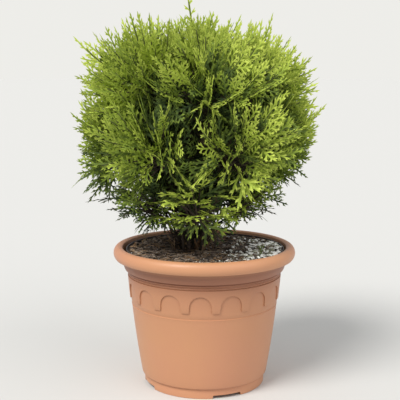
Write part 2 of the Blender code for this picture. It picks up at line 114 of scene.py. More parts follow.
# Trunk and boughs
GAP = 0.0003
TRUNK_FOOT = Vector((-0.018, 0.008, 0.1885 + GAP))
TRUNK_TIP = Vector((-0.012, 0.004, 0.402))
TRUNK_SWAY = 0.006
TRUNK_RADIUS = 0.0074
TRUNK_TIP_RADIUS = 0.0026
ROOT_FLARE = 0.0062
FLARE_HEIGHT = 0.0055
BOUGH_RADIUS = 0.0033
BOUGH_TIP_RADIUS = 0.0017
BEND_PLACE = 0.5
END_TURN = 0.3
# tier, boughs, elevation of their tips from the crown's centre, turn of the first, where they
# leave the trunk, slope there, share of the way to the tips that they reach
TIERS = (
    ("low", 6, -31.0, 0.0, 0.075, 34.0, 0.27),
    ("mid", 6, 8.0, 30.0, 0.19, 42.0, 0.38),
    ("high", 5, 50.0, 12.0, 0.42, 50.0, 0.42),
)
TIER_RISE = 0.055

# Crown
CROWN_CENTRE = Vector((-0.003, -0.003, 0.366))
CROWN_RADIUS = 0.177
CROWN_ABOVE = 0.153
CROWN_BELOW = 0.150
SQUARE_ABOVE = 2.7
SQUARE_BELOW = 2.0
# hollows and shoulders: turn and elevation of the middle, width in degrees, change of the reach
LEANS = ((90.0, -42.0, 32.0, -0.14), (-90.0, 42.0, 26.0, 0.10))
THIN_SIDE = (90.0, 5.0, 50.0, -0.065)
HOLLOW = (10.0, -8.0, 30.0, 1.0)
HOLLOW_DEPTH = 0.23
HOLLOW_OPEN = 0.36
HANGING = (0.0, -38.0, 36.0, 1.0)
# furrows between the crown's three heads: x of the middle, width
FURROWS = ((-0.028, 0.008), (0.023, 0.010))
FURROW_DEPTH = 0.13
FURROWS_FROM = 0.45
TIPS_DEPTH = 0.96
MIDDLE_PLACE = 0.46
LOWEST_OVER_RIM = 0.2015
LOWEST_OVER_SOIL = 0.1950
INSIDE_RIM = 0.107
GOLDEN_ANGLE = 180 * (3 - 5**0.5)
NEXT_TURN = 137.5  # between the stems and sprays that stand round the trunk's foot

# Twigs and sprays
DROOP_BELOW = 0.290
CLIMBS_FROM = 0.460
DROOP = -0.10
CLIMB = 0.85
ARCH = 0.75
TWIG_RADIUS = 0.00115
TWIG_TRIES = 7
LOW_STEMS = 30
DEAD_TWIGS = 150
FOOT_SPRAYS = 70
MASS_OVERLAP = 0.005
SPRAY_DEPTHS = 0.10
LOWEST_SPRAY = -72.0
SPRAY_LENGTHS = (0.018, 0.025, 0.033, 0.042, 0.053)
SPRAY_SPREADS = (0.17, 0.34, 0.46, 0.58)
SPRAY_KINDS = 3
SHOOT_STEP = 0.0052
LIGHTEST = 6
# turn, elevation and reach of the long low sprays, and of other tips that stand out
FAN_TIPS = (
    (-92.0, -24.0, 1.17), (-84.0, -27.0, 1.10), (-101.0, -22.0, 1.09), (-96.0, -31.0, 1.16),
    (-78.0, -22.0, 1.08), (-97.0, -27.0, 1.16), (-88.0, -47.0, 1.08), (-97.0, -49.0, 1.06),
    (-93.0, -35.0, 1.18), (-87.0, -41.0, 1.10), (-76.0, -60.0, 1.10), (-86.0, -57.0, 1.10),
    (24.0, -66.0, 1.10), (10.0, -63.0, 1.08), (92.0, -30.0, 1.09), (88.0, -50.0, 1.17),
    (96.0, -43.0, 1.17), (80.0, -56.0, 1.10),
)
STRAY_TIPS = (
    (-97.0, 83.5, 1.24), (-62.0, 55.0, 1.05), (100.0, 56.0, 1.05), (-78.0, 36.0, 1.06),
    (-84.0, 4.0, 1.03), (-68.0, -20.0, 1.10), (-52.0, -52.0, 1.10), (75.0, -24.0, 1.05),
    (98.0, 8.0, 1.03), (0.0, 12.0, 1.02),
)

# Natural stuffs: name, two tones, grain, relief
LITTER_FINISHES = (
    ("bark_chip", (0.200, 0.145, 0.110), (0.090, 0.065, 0.050), 260.0),
    ("pale_chip", (0.360, 0.285, 0.220), (0.220, 0.165, 0.125), 260.0),
    ("dark_chip", (0.070, 0.052, 0.041), (0.030, 0.022, 0.018), 260.0),
    ("old_leaf", (0.330, 0.210, 0.115), (0.200, 0.115, 0.055), 300.0),
)
GRANULE_FINISHES = (
    ("granule", (0.96, 0.955, 0.93), (0.90, 0.89, 0.85), 420.0, 0.0004),
    ("grey_grit", (0.42, 0.41, 0.31), (0.20, 0.20, 0.14), 320.0, 0.0005),
    ("dark_crumb", (0.060, 0.046, 0.036), (0.026, 0.020, 0.016), 320.0),
    ("brown_crumb", (0.190, 0.140, 0.105), (0.080, 0.058, 0.045), 320.0),
)
FALLEN_FINISHES = (
    ("dead_spray", (0.230, 0.130, 0.060), (0.130, 0.070, 0.034), 300.0),
    ("old_spray", (0.120, 0.075, 0.042), (0.060, 0.040, 0.025), 300.0),
    ("pale_spray", (0.340, 0.230, 0.130), (0.220, 0.140, 0.075), 300.0),
)
TWIG_FINISHES = (
    ("twig_brown", (0.075, 0.052, 0.036), (0.035, 0.025, 0.019), 300.0),
    ("twig_green", (0.095, 0.110, 0.030), (0.060, 0.070, 0.020), 300.0),
)
# the greens of the sprays, from old growth inside to the newest tips; the same ladder also serves
# as lit and shaded copies, painted shade inside and low down and painted light outside and on top
GREENS = (
    ("dead_and_shaded_inside", (0.080, 0.066, 0.040)),
    ("old_shade", (0.050, 0.076, 0.034)),
    ("shade", (0.092, 0.136, 0.044)),
    ("deep_green", (0.155, 0.214, 0.050)),
    ("mid_green", (0.243, 0.327, 0.054)),
    ("fresh_and_lit_green", (0.355, 0.455, 0.065)),
    ("light_green", (0.475, 0.575, 0.090)),
    ("lit_tip_green", (0.590, 0.685, 0.130)),
)


# Settings


def count_setting(name, about, default, least=0):
    return IntProperty(name=name, description=about, default=default, min=least)


def level_setting(name, about, default, unit="NONE"):
    return FloatProperty(name=name, description=about, default=default, unit=unit)


def colour_setting(name, about, default):
    return FloatVectorProperty(
        name=name, description=about, subtype="COLOR", size=3, min=0.0, max=1.0, default=default
    )


class PlanterSettings(bpy.types.PropertyGroup):
    """Sizes and colour of the planter."""

    segments: count_setting("Segments", "Facets round the planter", 360, 90)
    relief: level_setting("Relief", "How far the arcade stands out of the wall", 0.0018, "LENGTH")
    colour: colour_setting("Clay", "Colour of the moulded plastic", (0.580, 0.285, 0.144))


class CompostSettings(bpy.types.PropertyGroup):
    """What lies on the compost."""

    chips: count_setting("Chips", "Pieces of bark", 1000)
    fibres: count_setting("Fibres", "Shreds of bark", 900)
    granules: count_setting("Granules", "White granules", 480)
    colour: colour_setting("Compost", "Colour of the damp compost", COLOURS["compost"])


class CrownSettings(bpy.types.PropertyGroup):
    """How full the crown is."""

    seed: count_setting("Seed", "Chooses another plant", 12)
    twigs: count_setting("Twigs", "Twigs that reach the outside", 700, 20)
    inner_twigs: count_setting("Inner twigs", "Twigs that end inside", 425)
    fallen: count_setting("Fallen sprays", "On the compost", 130)
    shoot_width: level_setting("Shoot width", "Of the flat green shoots", 0.0025, "LENGTH")


class StageSettings(bpy.types.PropertyGroup):
    """The floor and the light."""

    floor_colour: colour_setting("Floor", "Colour of the floor", (0.639, 0.639, 0.629))
    backdrop: level_setting("Backdrop", "Brightness behind", 0.853)
    sun: level_setting("Sun", "Strength of the soft key light", 2.65)
    sky: level_setting("Sky", "Strength of the light all round", 0.56)


# Finishes


class Value:
    """A shader socket that Python's operators work on: each one adds a Math node."""

    def __init__(self, finish, socket):
        self.finish = finish
        self.socket = socket

    def math(self, operation, other):
        return self.finish.node("Math", {"operation": operation}, {0: self, 1: other})

    def __add__(self, other):
        return self.math("ADD", other)

    def __sub__(self, other):
        return self.math("SUBTRACT", other)

    def __mul__(self, other):
        return self.math("MULTIPLY", other)


class Finish:
    """A material on one Principled shader, built node by node."""

    def __init__(self, name, colour, roughness):
        self.material = bpy.data.materials.new(name)
        self.material.use_nodes = True
        self.material.diffuse_color = (*colour, 1.0)
        self.tree = self.material.node_tree
        self.shader = self.tree.nodes["Principled BSDF"]
        self.set("Base Color", (*colour, 1.0))
        self.set("Roughness", roughness)

    def put(self, socket, value):
        if isinstance(value, Value):
            self.tree.links.new(value.socket, socket)
        else:
            socket.default_value = value

    def set(self, name, value):
        self.put(self.shader.inputs[name], value)

    def node(self, kind, settings=None, values=None, output=0):
        """Adds a node: its settings first, then its sockets."""
        made = self.tree.nodes.new("ShaderNode" + kind)
        for key, value in (settings or {}).items():
            setattr(made, key, value)
        for key, value in (values or {}).items():
            self.put(made.inputs[key], value)
        return Value(self, made.outputs[output])

    def place(self, scale=(1.0, 1.0, 1.0)):
        """Object coordinates, stretched."""
        coords = self.node("TexCoord", output="Object")
        return self.node("Mapping", None, {"Vector": coords, "Scale": scale})

    def noise(self, place, scale, detail=3.0, roughness=0.55):
        values = {"Vector": place, "Scale": scale, "Detail": detail, "Roughness": roughness}
        return self.node("TexNoise", None, values)

    def ramp(self, value, *stops):
        """A ramp from a value to grey levels, given as (place, level)."""
        made = self.node("ValToRGB", None, {0: value})
        elements = made.socket.node.color_ramp.elements
        while len(elements) < len(stops):
            elements.new(0.5)
        for element, (place, level) in zip(elements, stops):
            element.position = place
            element.color = (level, level, level, 1.0)
        return made

    def blend(self, a, b, factor):
        a, b = ((*c, 1.0) if isinstance(c, tuple) else c for c in (a, b))
        return self.node("Mix", {"data_type": "RGBA"}, {0: factor, 6: a, 7: b}, 2)

    def bump(self, height, distance):
        values = {"Height": height, "Distance": distance, "Strength": 1.0}
        self.set("Normal", self.node("Bump", None, values))


def shaded(colour, *shares):
    """A colour with each channel scaled, all alike or one by one."""
    shares = shares if len(shares) == 3 else shares * 3
    return tuple(min(1.0, c * share) for c, share in zip(colour, shares))


def terracotta_finish(colour):
    """Moulded plastic coloured like fired clay: clouded, with a fine grain and a soft shine, and
    with painted shade under the rim that fades down the side.
    """
    finish = Finish("terracotta_plastic", colour, 0.42)
    place = finish.place()
    clouds = finish.ramp(finish.noise(place, 7.0, 4.0), (0.32, 0.0), (0.70, 1.0))
    pink = finish.blend(colour, shaded(colour, 0.96, 0.90, 1.02), clouds)
    specks = finish.ramp(finish.noise(place, 900.0, 2.0), (0.60, 0.0), (0.78, 1.0))
    # Painted shade: darker from under the rim down over the neck, fading down the side, where the
    # rim shades the wall.
    height = finish.node("SeparateXYZ", None, {"Vector": place}, 2)
    rim_shade_fading = ((0.060, 0.0), (0.115, 0.14), (0.145, 0.38), (0.158, 0.66), (0.165, 1.0))
    painted_rim_shade = finish.ramp(height, *rim_shade_fading, (0.1775, 1.0), (0.1815, 0.0))
    rim_shaded_colour = finish.blend(pink, shaded(colour, 0.55, 0.47, 0.54), painted_rim_shade * 0.97)
    finish.set("Base Color", finish.blend(rim_shaded_colour, shaded(colour, 0.80), specks * 0.35))
    finish.set("Roughness", finish.noise(place, 38.0) * 0.16 + 0.36)
    grain = finish.noise(place, 1500.0, 2.0) * 0.6 + finish.noise(place, 260.0, 2.0)
    finish.bump(grain, 0.00006)
    finish.set("Specular IOR Level", 0.45)
    return finish.material


def dark_plastic_finish(colour):
    """Thin dark nursery plastic, scuffed and dusty."""
    finish = Finish("nursery_plastic", colour, 0.5)
    place = finish.place()
    dust = finish.ramp(finish.noise(place, 90.0, 5.0, 0.7), (0.48, 0.0), (0.75, 1.0))
    finish.set("Base Color", finish.blend(colour, (0.10, 0.065, 0.045), dust * 0.5))
    finish.set("Roughness", finish.noise(place, 60.0) * 0.3 + 0.38)
    finish.bump(finish.noise(place, 420.0), 0.0001)
    return finish.material


def compost_finish(colour):
    """Damp compost: crumbs from near black to brown."""
    finish = Finish("compost", colour, 0.92)
    place = finish.place()
    crumbs = finish.node("TexVoronoi", None, {"Vector": place, "Scale": 520.0})
    damp = finish.noise(place, 60.0, 5.0, 0.65)
    brown = finish.blend(shaded(colour, 0.45), shaded(colour, 1.7), damp)
    finish.set("Base Color", finish.blend(brown, shaded(colour, 0.35), crumbs * 0.8))
    finish.bump(finish.noise(place, 700.0, 4.0) - crumbs * 0.8, 0.0012)
    return finish.material


def rough_finish(name, colour, other, scale, bump=0.0003, stretch=(1.0, 1.0, 1.0)):
    """A matt natural stuff in two tones with a small relief."""
    finish = Finish(name, colour, 0.9)
    place = finish.place(stretch)
    tone = finish.ramp(finish.noise(place, scale, 4.0, 0.6), (0.35, 0.0), (0.65, 1.0))
    finish.set("Base Color", finish.blend(colour, other, tone))
    finish.bump(finish.noise(place, scale * 3), bump)
    return finish.material


def rough_finishes(table):
    return [rough_finish(*row) for row in table]


def leaf_finish(name, colour):
    finish = Finish(name, colour, 0.6)
    finish.set("Specular IOR Level", min(0.16, 0.6 * colour[1]))
    return finish.material


# Mesh tools


def start_clean():
    """Leaves nothing selected and no object in edit mode."""
    if bpy.context.object and bpy.context.object.mode != "OBJECT":
        bpy.ops.object.mode_set(mode="OBJECT")
    bpy.ops.object.select_all(action="DESELECT")


def pick(obj):
    start_clean()
    obj.select_set(True)
    bpy.context.view_layer.objects.active = obj


def settle(obj, name, smooth_under=None):
    """Names a finished piece, applies its place and shades it."""
    pick(obj)
    obj.name = obj.data.name = name
    bpy.ops.object.transform_apply(location=True, rotation=True, scale=True)
    if smooth_under:
        bpy.ops.object.shade_smooth_by_angle(angle=math.radians(smooth_under))


def hand_over(obj, slot, *nodes):
    """The piece rides on the plant's body and stands for CAD nodes. slot is not used."""
    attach(obj, "root")
    if nodes:
        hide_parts(*nodes)


def modify(obj, kind, **settings):
    """Adds a modifier and applies it."""
    modifier = obj.modifiers.new(kind, kind)
    for key, value in settings.items():
        setattr(modifier, key, value)
    pick(obj)
    bpy.ops.object.modifier_apply(modifier=modifier.name)


def face_out(obj):
    pick(obj)
    bpy.ops.object.mode_set(mode="EDIT")
    bpy.ops.mesh.select_all(action="SELECT")
    bpy.ops.mesh.remove_doubles(threshold=1e-6)
    bpy.ops.mesh.normals_make_consistent(inside=False)
    bpy.ops.object.mode_set(mode="OBJECT")


def arc(centre, half, start, stop, steps):
    """Points (radius, height) of an ellipse, by angles in degrees from outward to up."""
    angles = (math.radians(start + (stop - start) * i / steps) for i in range(steps + 1))
    return [(centre[0] + half[0] * math.cos(a), centre[1] + half[1] * math.sin(a)) for a in angles]


def select_where(obj, wanted):
    """Selects the vertices whose place is wanted, in edit mode."""
    bpy.ops.mesh.select_all(action="DESELECT")
    bpy.ops.mesh.select_mode(type="VERT")
    mesh = bmesh.from_edit_mesh(obj.data)
    for corner in mesh.verts:
        corner.select = wanted(corner.co)
    mesh.select_flush(True)
    bmesh.update_edit_mesh(obj.data)


def pull_rings(outline, radius, height):
    """Extrudes the selected ring along an outline; a radius of 0 closes it on the axis."""
    for new_radius, new_height in outline:
        move = {"value": (0, 0, new_height - height)}
        bpy.ops.mesh.extrude_region_move(TRANSFORM_OT_translate=move)
        if new_radius == 0.0:
            bpy.ops.mesh.merge(type="CENTER")
            return
        share = new_radius / radius
        bpy.ops.transform.resize(value=(share, share, 1), center_override=(0, 0, 0))
        radius, height = new_radius, new_height


def turned(start, outside, underneath, segments):
    """A vessel pulled out of one circle: up the outside and down the inside, then underneath."""
    start_clean()
    bpy.ops.mesh.primitive_circle_add(vertices=segments, radius=start[0])
    obj = bpy.context.object
    bpy.ops.object.mode_set(mode="EDIT")
    bpy.ops.mesh.select_all(action="SELECT")
    bpy.ops.transform.translate(value=(0, 0, start[1]))
    pull_rings(outside, *start)
    select_where(
        obj,
        lambda co: abs(math.hypot(co.x, co.y) - start[0]) < 1e-5 and abs(co.z - start[1]) < 1e-6,
    )
    pull_rings(underneath, *start)
    bpy.ops.object.mode_set(mode="OBJECT")
    face_out(obj)
    return obj


class Pile:
    """Points and faces of many small things that become one mesh."""

    def __init__(self):
        self.points = []
        self.faces = {3: [], 4: []}
        self.kinds = {3: [], 4: []}
        self.count = 0

    def add(self, points, faces, kinds):
        """Adds points, and faces as {corners: rows of indices}, with a finish for all or each."""
        points = np.asarray(points, float).reshape(-1, 3)
        self.points.append(points)
        for corners, rows in faces.items():
            if len(rows):
                each = kinds[corners] if isinstance(kinds, dict) else np.full(len(rows), kinds)
                self.faces[corners].append(np.asarray(rows, int) + self.count)
                self.kinds[corners].append(np.asarray(each, int))
        self.count += len(points)

    def made(self, name, finishes, smooth=True):
        """The whole pile as one object."""
        corners = [n for n in (4, 3) if self.faces[n]]
        rows = [np.concatenate(self.faces[n]) for n in corners]
        kinds = np.concatenate([each for n in corners for each in self.kinds[n]])
        sizes = np.concatenate([np.full(len(each), n) for n, each in zip(corners, rows)])
        points = np.concatenate(self.points)
        loops = np.concatenate([each.ravel() for each in rows])
        mesh = bpy.data.meshes.new(name)
        mesh.vertices.add(len(points))
        mesh.loops.add(len(loops))
        mesh.polygons.add(len(sizes))
        for finish in finishes:
            mesh.materials.append(finish)
        mesh.vertices.foreach_set("co", points.astype(np.float32).ravel())
        mesh.loops.foreach_set("vertex_index", loops.astype(np.int32))
        mesh.polygons.foreach_set("loop_start", (np.cumsum(sizes) - sizes).astype(np.int32))
        mesh.polygons.foreach_set("material_index", kinds.astype(np.int32))
        mesh.polygons.foreach_set("use_smooth", np.full(len(sizes), smooth))
        mesh.update(calc_edges=True)
        mesh.validate()
        obj = bpy.data.objects.new(name, mesh)
        bpy.context.scene.collection.objects.link(obj)
        return obj


def around(turn, radius, height):
    """The point at this radius and height, turned from the front towards +X."""
    angle = math.radians(turn)
    return Vector((radius * math.sin(angle), -radius * math.cos(angle), height))


def aim(turn, elevation):
    rise = math.radians(elevation)
    return around(turn, math.cos(rise), math.sin(rise))


def side_ways(direction):
    """Two unit vectors square to a direction and to each other."""
    across = direction.cross(UP)
    if across.length < 0.2:
        across = direction.cross(Vector((1.0, 0.0, 0.0)))
    across.normalize()
    return across, across.cross(direction).normalized()


def add_tube(pile, path, radii, sides, kind, relief=None):
    """A closed limb along a path; relief(point, turn, along) scales its radius."""
    points, along = [], 0.0
    across = side_ways((path[1] - path[0]).normalized())[0]
    last = len(path) - 1
    for i, point in enumerate(path):
        heading = (path[min(i + 1, last)] - path[max(i - 1, 0)]).normalized()
        across = (across - heading * across.dot(heading)).normalized()
        over = across.cross(heading)
        if i:
            along += (point - path[i - 1]).length
        for k in range(sides):
            turn = math.tau * k / sides
            out = across * math.cos(turn) + over * math.sin(turn)
            size = radii[i] * (relief(point + out * radii[i], turn, along) if relief else 1.0)
            points.append(point + out * size)
    ring = [(k, (k + 1) % sides) for k in range(sides)]
    quads = [
        [i * sides + k, (i + 1) * sides + k, (i + 1) * sides + n, i * sides + n]
        for i in range(last)
        for k, n in ring
    ]
    first, final, top = len(points), len(points) + 1, last * sides
    points += [path[0], path[-1] + (path[-1] - path[-2]).normalized() * radii[-1] * 0.5]
    tris = [[first, k, n] for k, n in ring] + [[final, top + n, top + k] for k, n in ring]
    pile.add(points, {4: quads, 3: tris}, kind)


# Planter


def body_radius(height):
    """The planter's side: a cone that swells a little at mid height."""
    share = (height - BODY_FOOT[1]) / (BODY_TOP[1] - BODY_FOOT[1])
    straight = BODY_FOOT[0] + (BODY_TOP[0] - BODY_FOOT[0]) * share
    return straight + 4 * BODY_SWELL * share * (1 - share)


def side(*heights):
    return [(body_radius(z), z) for z in heights]


def planter_outside():
    """The section from the foot up the outside, over the rim and down to the floor's middle."""
    soft = SOFT_EDGE
    foot = [(FOOT_RADIUS, soft), (FOOT_RADIUS + soft, FOOT_HEIGHT - soft)]
    foot += [(FOOT_RADIUS + soft * 0.6, FOOT_HEIGHT), (BODY_FOOT[0] - 2 * soft, FOOT_HEIGHT + soft)]
    foot.append((BODY_FOOT[0] - soft * 0.3, BODY_FOOT[1]))
    line = GROOVE_HEIGHT
    sunk = body_radius(line) - soft
    body = side(0.0165, 0.030, 0.045, 0.060, 0.075, 0.090, 0.102, 0.110, line - 0.0022)
    body += [(body_radius(line) + 0.0001, line - 0.0010), (sunk, line - 0.0005)]
    body += [(sunk, line + 0.0003), (body_radius(line), line + 0.0013)]
    body += side(0.124, 0.132, 0.141, 0.149, 0.1545, 0.1572)
    for height in BEADS:
        share = (height - BODY_TOP[1]) / (NECK_FOOT[1] - BODY_TOP[1])
        radius = BODY_TOP[0] + (NECK_FOOT[0] - BODY_TOP[0]) * share
        radius += (height > NECK_FOOT[1]) * 0.0011
        body += arc((radius, height), (BEAD_RADIUS, BEAD_RADIUS), -80, 80, 6)
        body.append((radius - 0.0002, height + 0.0019))
    half = (NECK_RADIUS - NECK_FOOT[0], NECK_TOP - NECK_FOOT[1])
    neck = arc((NECK_FOOT[0], NECK_TOP), half, -52, 0, 9)
    curl = arc(RIM_CENTRE, (RIM_HALF[0] - WALL, RIM_HALF[1] - WALL), 165, -40, 16)
    rim = arc(RIM_CENTRE, RIM_HALF, -50, 125, 30)
    inside = [(0.1172, 0.1958), (0.1164, 0.1930), (NECK_RADIUS - WALL, NECK_TOP)]
    inside += [(BODY_TOP[0] - WALL, BODY_TOP[1]), (FOOT_RADIUS - WALL, FLOOR_UNDERSIDE + WALL)]
    return foot + body + neck + curl + rim + inside + [(0.0, FLOOR_UNDERSIDE + WALL)]


def planter_underneath():
    """Under the planter: the foot ring, then the floor with its moulded rings."""
    inner = FOOT_RADIUS - FOOT_RING_WIDTH
    found = [(inner + SOFT_EDGE, 0.0), (inner, SOFT_EDGE), (inner, FLOOR_UNDERSIDE)]
    for radius in FLOOR_RINGS:
        for out, down in ((0.0016, 0.0), (0.0010, 0.0009), (-0.0010, 0.0009), (-0.0016, 0.0)):
            found.append((radius + out, FLOOR_UNDERSIDE - down))
    return found + [(0.004, FLOOR_UNDERSIDE), (0.0, FLOOR_UNDERSIDE)]


def make_notch_cutter():
    """A block with sloping ends for each notch in the foot ring."""
    start_clean()
    bpy.ops.mesh.primitive_cube_add(size=1.0)
    cutter = bpy.context.object
    width = 2 * FOOT_RADIUS * math.sin(math.radians(NOTCH_SPAN / 2))
    bpy.ops.object.mode_set(mode="EDIT")
    size = (width, 4 * FOOT_RING_WIDTH, 2 * NOTCH_HEIGHT)
    bpy.ops.transform.resize(value=size, center_override=(0, 0, 0))
    bpy.ops.transform.translate(value=(0, -FOOT_RADIUS, 0))
    select_where(cutter, lambda co: co.z < 0)
    bpy.ops.transform.resize(value=(NOTCH_FLARE, 1, 1), center_override=(0, -FOOT_RADIUS, 0))
    bpy.ops.mesh.select_all(action="SELECT")
    for i in range(NOTCHES):
        if i:
            bpy.ops.mesh.duplicate()
        turn = Matrix.Rotation(math.radians(360 / NOTCHES if i else NOTCH_TURN), 3, "Z")
        mesh = bmesh.from_edit_mesh(cutter.data)
        chosen = [corner for corner in mesh.verts if corner.select]
        bmesh.ops.rotate(mesh, verts=chosen, cent=(0, 0, 0), matrix=turn)
        bmesh.update_edit_mesh(cutter.data)
    bpy.ops.object.mode_set(mode="OBJECT")
    return cutter


def arcade_columns():
    """(turn, lower edge) all the way round: piers between round arches."""
    bay = 360.0 / BAYS
    half = ARCH_SPAN / 2
    pier = (bay - ARCH_SPAN) / 4
    spring = ARCH_HEAD - math.radians(half) * body_radius(ARCH_HEAD)
    found = []
    for i in range(BAYS):
        middle = ARCH_TURN + bay * i
        found += [(middle - half - pier, ARCH_FOOT), (middle - half, ARCH_FOOT)]
        for step in range(ARCH_STEPS + 1):
            angle = math.pi * (1 - step / ARCH_STEPS)
            turn = middle + (half - LEG_DRAFT) * math.cos(angle)
            found.append((turn, spring + (ARCH_HEAD - spring) * math.sin(angle)))
        found += [(middle + half, ARCH_FOOT), (middle + half + pier, ARCH_FOOT)]
    return found


def make_arcade(relief):
    """The band with the arches: a strip bent round the wall, thickened, with softened edges."""
    columns = arcade_columns()
    across, up = len(columns), BAND_ROWS - 1
    start_clean()
    bpy.ops.mesh.primitive_grid_add(x_subdivisions=across, y_subdivisions=up, size=1.0)
    band = bpy.context.object
    corners = sorted(band.data.vertices, key=lambda v: (round(v.co.y, 4), v.co.x))
    for index, corner in enumerate(corners):
        row, i = divmod(index, across + 1)
        turn, low = columns[i % across]
        height = low + (BODY_TOP[1] + 0.0004 - low) * row / up
        corner.co = around(turn, body_radius(min(height, BODY_TOP[1])) - BAND_SUNK, height)
    face_out(band)
    modify(band, "SOLIDIFY", thickness=relief + BAND_SUNK, offset=1.0)
    limit = math.radians(50)
    modify(band, "BEVEL", width=0.00042, segments=2, limit_method="ANGLE", angle_limit=limit)
    return band


class THUJA_OT_planter(bpy.types.Operator):
    """Turns the planter, cuts the notches in its foot and lays the arcade round it"""

    bl_idname = "thuja.planter"
    bl_label = "Planter"

    def execute(self, context):
        settings = context.scene.thuja_planter
        start = (FOOT_RADIUS - SOFT_EDGE, 0.0)
        planter = turned(start, planter_outside(), planter_underneath(), settings.segments)
        cutter = make_notch_cutter()
        modify(planter, "BOOLEAN", object=cutter, solver="EXACT")
        bpy.data.objects.remove(cutter)
        band = make_arcade(settings.relief)
        pick(planter)
        band.select_set(True)
        bpy.ops.object.join()
        settle(planter, "planter", smooth_under=38)
        planter.data.materials.clear()
        planter.data.materials.append(terracotta_finish(tuple(settings.colour)))
        hand_over(planter, "planter", "pot")
        return {"FINISHED"}


# Nursery pot and compost


def nursery_inside(height):
    share = (height - NURSERY_FOOT[1]) / (NURSERY_NECK[1] - NURSERY_FOOT[1])
    return NURSERY_FOOT[0] + (NURSERY_NECK[0] - NURSERY_FOOT[0]) * share - NURSERY_WALL


class THUJA_OT_nursery_pot(bpy.types.Operator):
    """Turns the thin dark pot that the shrub was raised in"""

    bl_idname = "thuja.nursery_pot"
    bl_label = "Nursery pot"

    def execute(self, context):
        soft = 0.0004
        outer, top = NURSERY_LIP
        inner, ledge = outer - LIP_WIDTH, top - LIP_HEIGHT
        neck, floor = NURSERY_NECK[1], NURSERY_FOOT[1] + NURSERY_WALL
        outside = [NURSERY_NECK, (outer - soft, ledge), (outer, ledge + soft), (outer, top - soft)]
        outside += [(outer - soft, top), (inner + soft, top), (inner, top - soft)]
        outside += [(inner, ledge + NURSERY_WALL), (nursery_inside(neck), neck)]
        outside += [(nursery_inside(floor), floor), (0.0, floor)]
        pot = turned(NURSERY_FOOT, outside, [(0.0, NURSERY_FOOT[1])], 240)
        pot.location.x = NURSERY_SHIFT
        settle(pot, "nursery", smooth_under=35)
        pot.data.materials.append(dark_plastic_finish((0.030, 0.021, 0.017)))
        hand_over(pot, "nursery_plastic", "nursery_pot")
        return {"FINISHED"}


def soil_height(x, y):
    """The compost's uneven top: it is heaped up to the nursery pot's lip."""
    away = math.hypot(x, y)
    rise = HEAPED[1] - 0.0016 * (1 - min(1.0, away / HEAPED[0]) ** 2)
    hollows = 0.0016 * noise.noise(Vector((x * 34, y * 34, 1.7)))
    crumbs = 0.0012 * noise.noise(Vector((x * 190, y * 190, 5.1)))
    crumbs += 0.0007 * noise.noise(Vector((x * 480, y * 480, 9.4)))
    return rise + hollows + crumbs


def on_soil(place, lift=0.0):
    """A place on the compost, measured from the nursery pot's axis, moved onto the scene's."""
    return Vector((place.x + NURSERY_SHIFT, place.y, soil_height(place.x, place.y) + lift))


def make_soil_body():
    """The compost filling the nursery pot, its top pulled ring by ring and roughened."""
    edge, top = HEAPED
    floor = NURSERY_FOOT[1] + NURSERY_WALL + GAP
    ledge = NURSERY_LIP[1] - LIP_HEIGHT + NURSERY_WALL + GAP
    wall = [(nursery_inside(NURSERY_NECK[1]) - 2 * GAP, NURSERY_NECK[1]), (edge - GAP, ledge)]
    heap = [(edge * (1 - i / SOIL_RINGS), top) for i in range(SOIL_RINGS)]
    start = (nursery_inside(floor) - 2 * GAP, floor)
    soil = turned(start, wall + heap + [(0.0, top)], [(0.0, floor)], 230)
    soil.location.x = NURSERY_SHIFT
    for corner in soil.data.vertices:
        if corner.co.z > top - 1e-5:
            corner.co.z = soil_height(corner.co.x, corner.co.y)
    return soil


def lump(draw, size, flat, long):
    """A small angular stone or chip: (points, faces) round the origin."""
    base = [(1, 0, 0), (-1, 0, 0), (0, 1, 0), (0, -1, 0), (0, 0, 1), (0, 0, -1)]
    base += [(0.6, 0.6, 0.5), (-0.6, 0.5, 0.6), (0.5, -0.6, 0.6), (-0.5, -0.6, 0.5)]
    stretch = np.array([long, 1.0, flat]) * size / 2
    points = np.array(base, float) * stretch
    points *= np.array([[draw.uniform(0.7, 1.2)] for _ in base])
    faces = [
        (0, 6, 8), (8, 6, 4), (4, 6, 7), (4, 7, 9), (4, 9, 8), (7, 1, 9),
        (0, 2, 6), (6, 2, 7), (7, 2, 1), (9, 1, 3), (9, 3, 8), (8, 3, 0),
        (0, 5, 2), (2, 5, 1), (1, 5, 3), (3, 5, 0),
    ]
    return points, faces


def turned_about(draw, tilt):
    """A random rotation: any way round, leaning by up to tilt degrees."""
    spin = Matrix.Rotation(draw.uniform(0, math.tau), 3, "Z")
    for axis in "XY":
        spin = spin @ Matrix.Rotation(math.radians(draw.uniform(-tilt, tilt)), 3, axis)
    return np.array(spin)


def soil_spot(draw, whiteness=None):
    """A random spot on the compost; whiteness favours the right-hand side."""
    while True:
        radius = (HEAPED[0] - 0.002) * math.sqrt(draw.random())
        spot = around(draw.uniform(-180, 180), radius, 0.0)
        if whiteness is None:
            return spot
        drift = noise.noise(Vector((spot.x * 55, spot.y * 55, 3.3)))
        share = (spot.x - 0.002) / 0.11 + drift - 0.25 * (spot.y > 0.03)
        if draw.random() < min(1.0, max(0.0, share)) ** whiteness:
            return spot


def scatter_lumps(pile, draw, count, sizes, flat, long, tilt, kinds, whiteness=None):
    """Lumps strewn on the compost: all over, or as granules with the given whiteness."""
    for _ in range(count):
        spot = soil_spot(draw, whiteness)
        if whiteness is None and spot.x > 0.03 and draw.random() < 0.5:
            continue
        size = draw.uniform(*sizes) * draw.uniform(0.7, 1.0)
        if whiteness is not None:
            size *= min(1.1, 0.50 + 7.0 * max(0.0, spot.x))
        points, faces = lump(draw, size, flat, long)
        points = points @ turned_about(draw, tilt).T
        points += np.array(on_soil(spot, size * flat * 0.2))
        pile.add(points, {3: faces}, draw.choice(kinds))


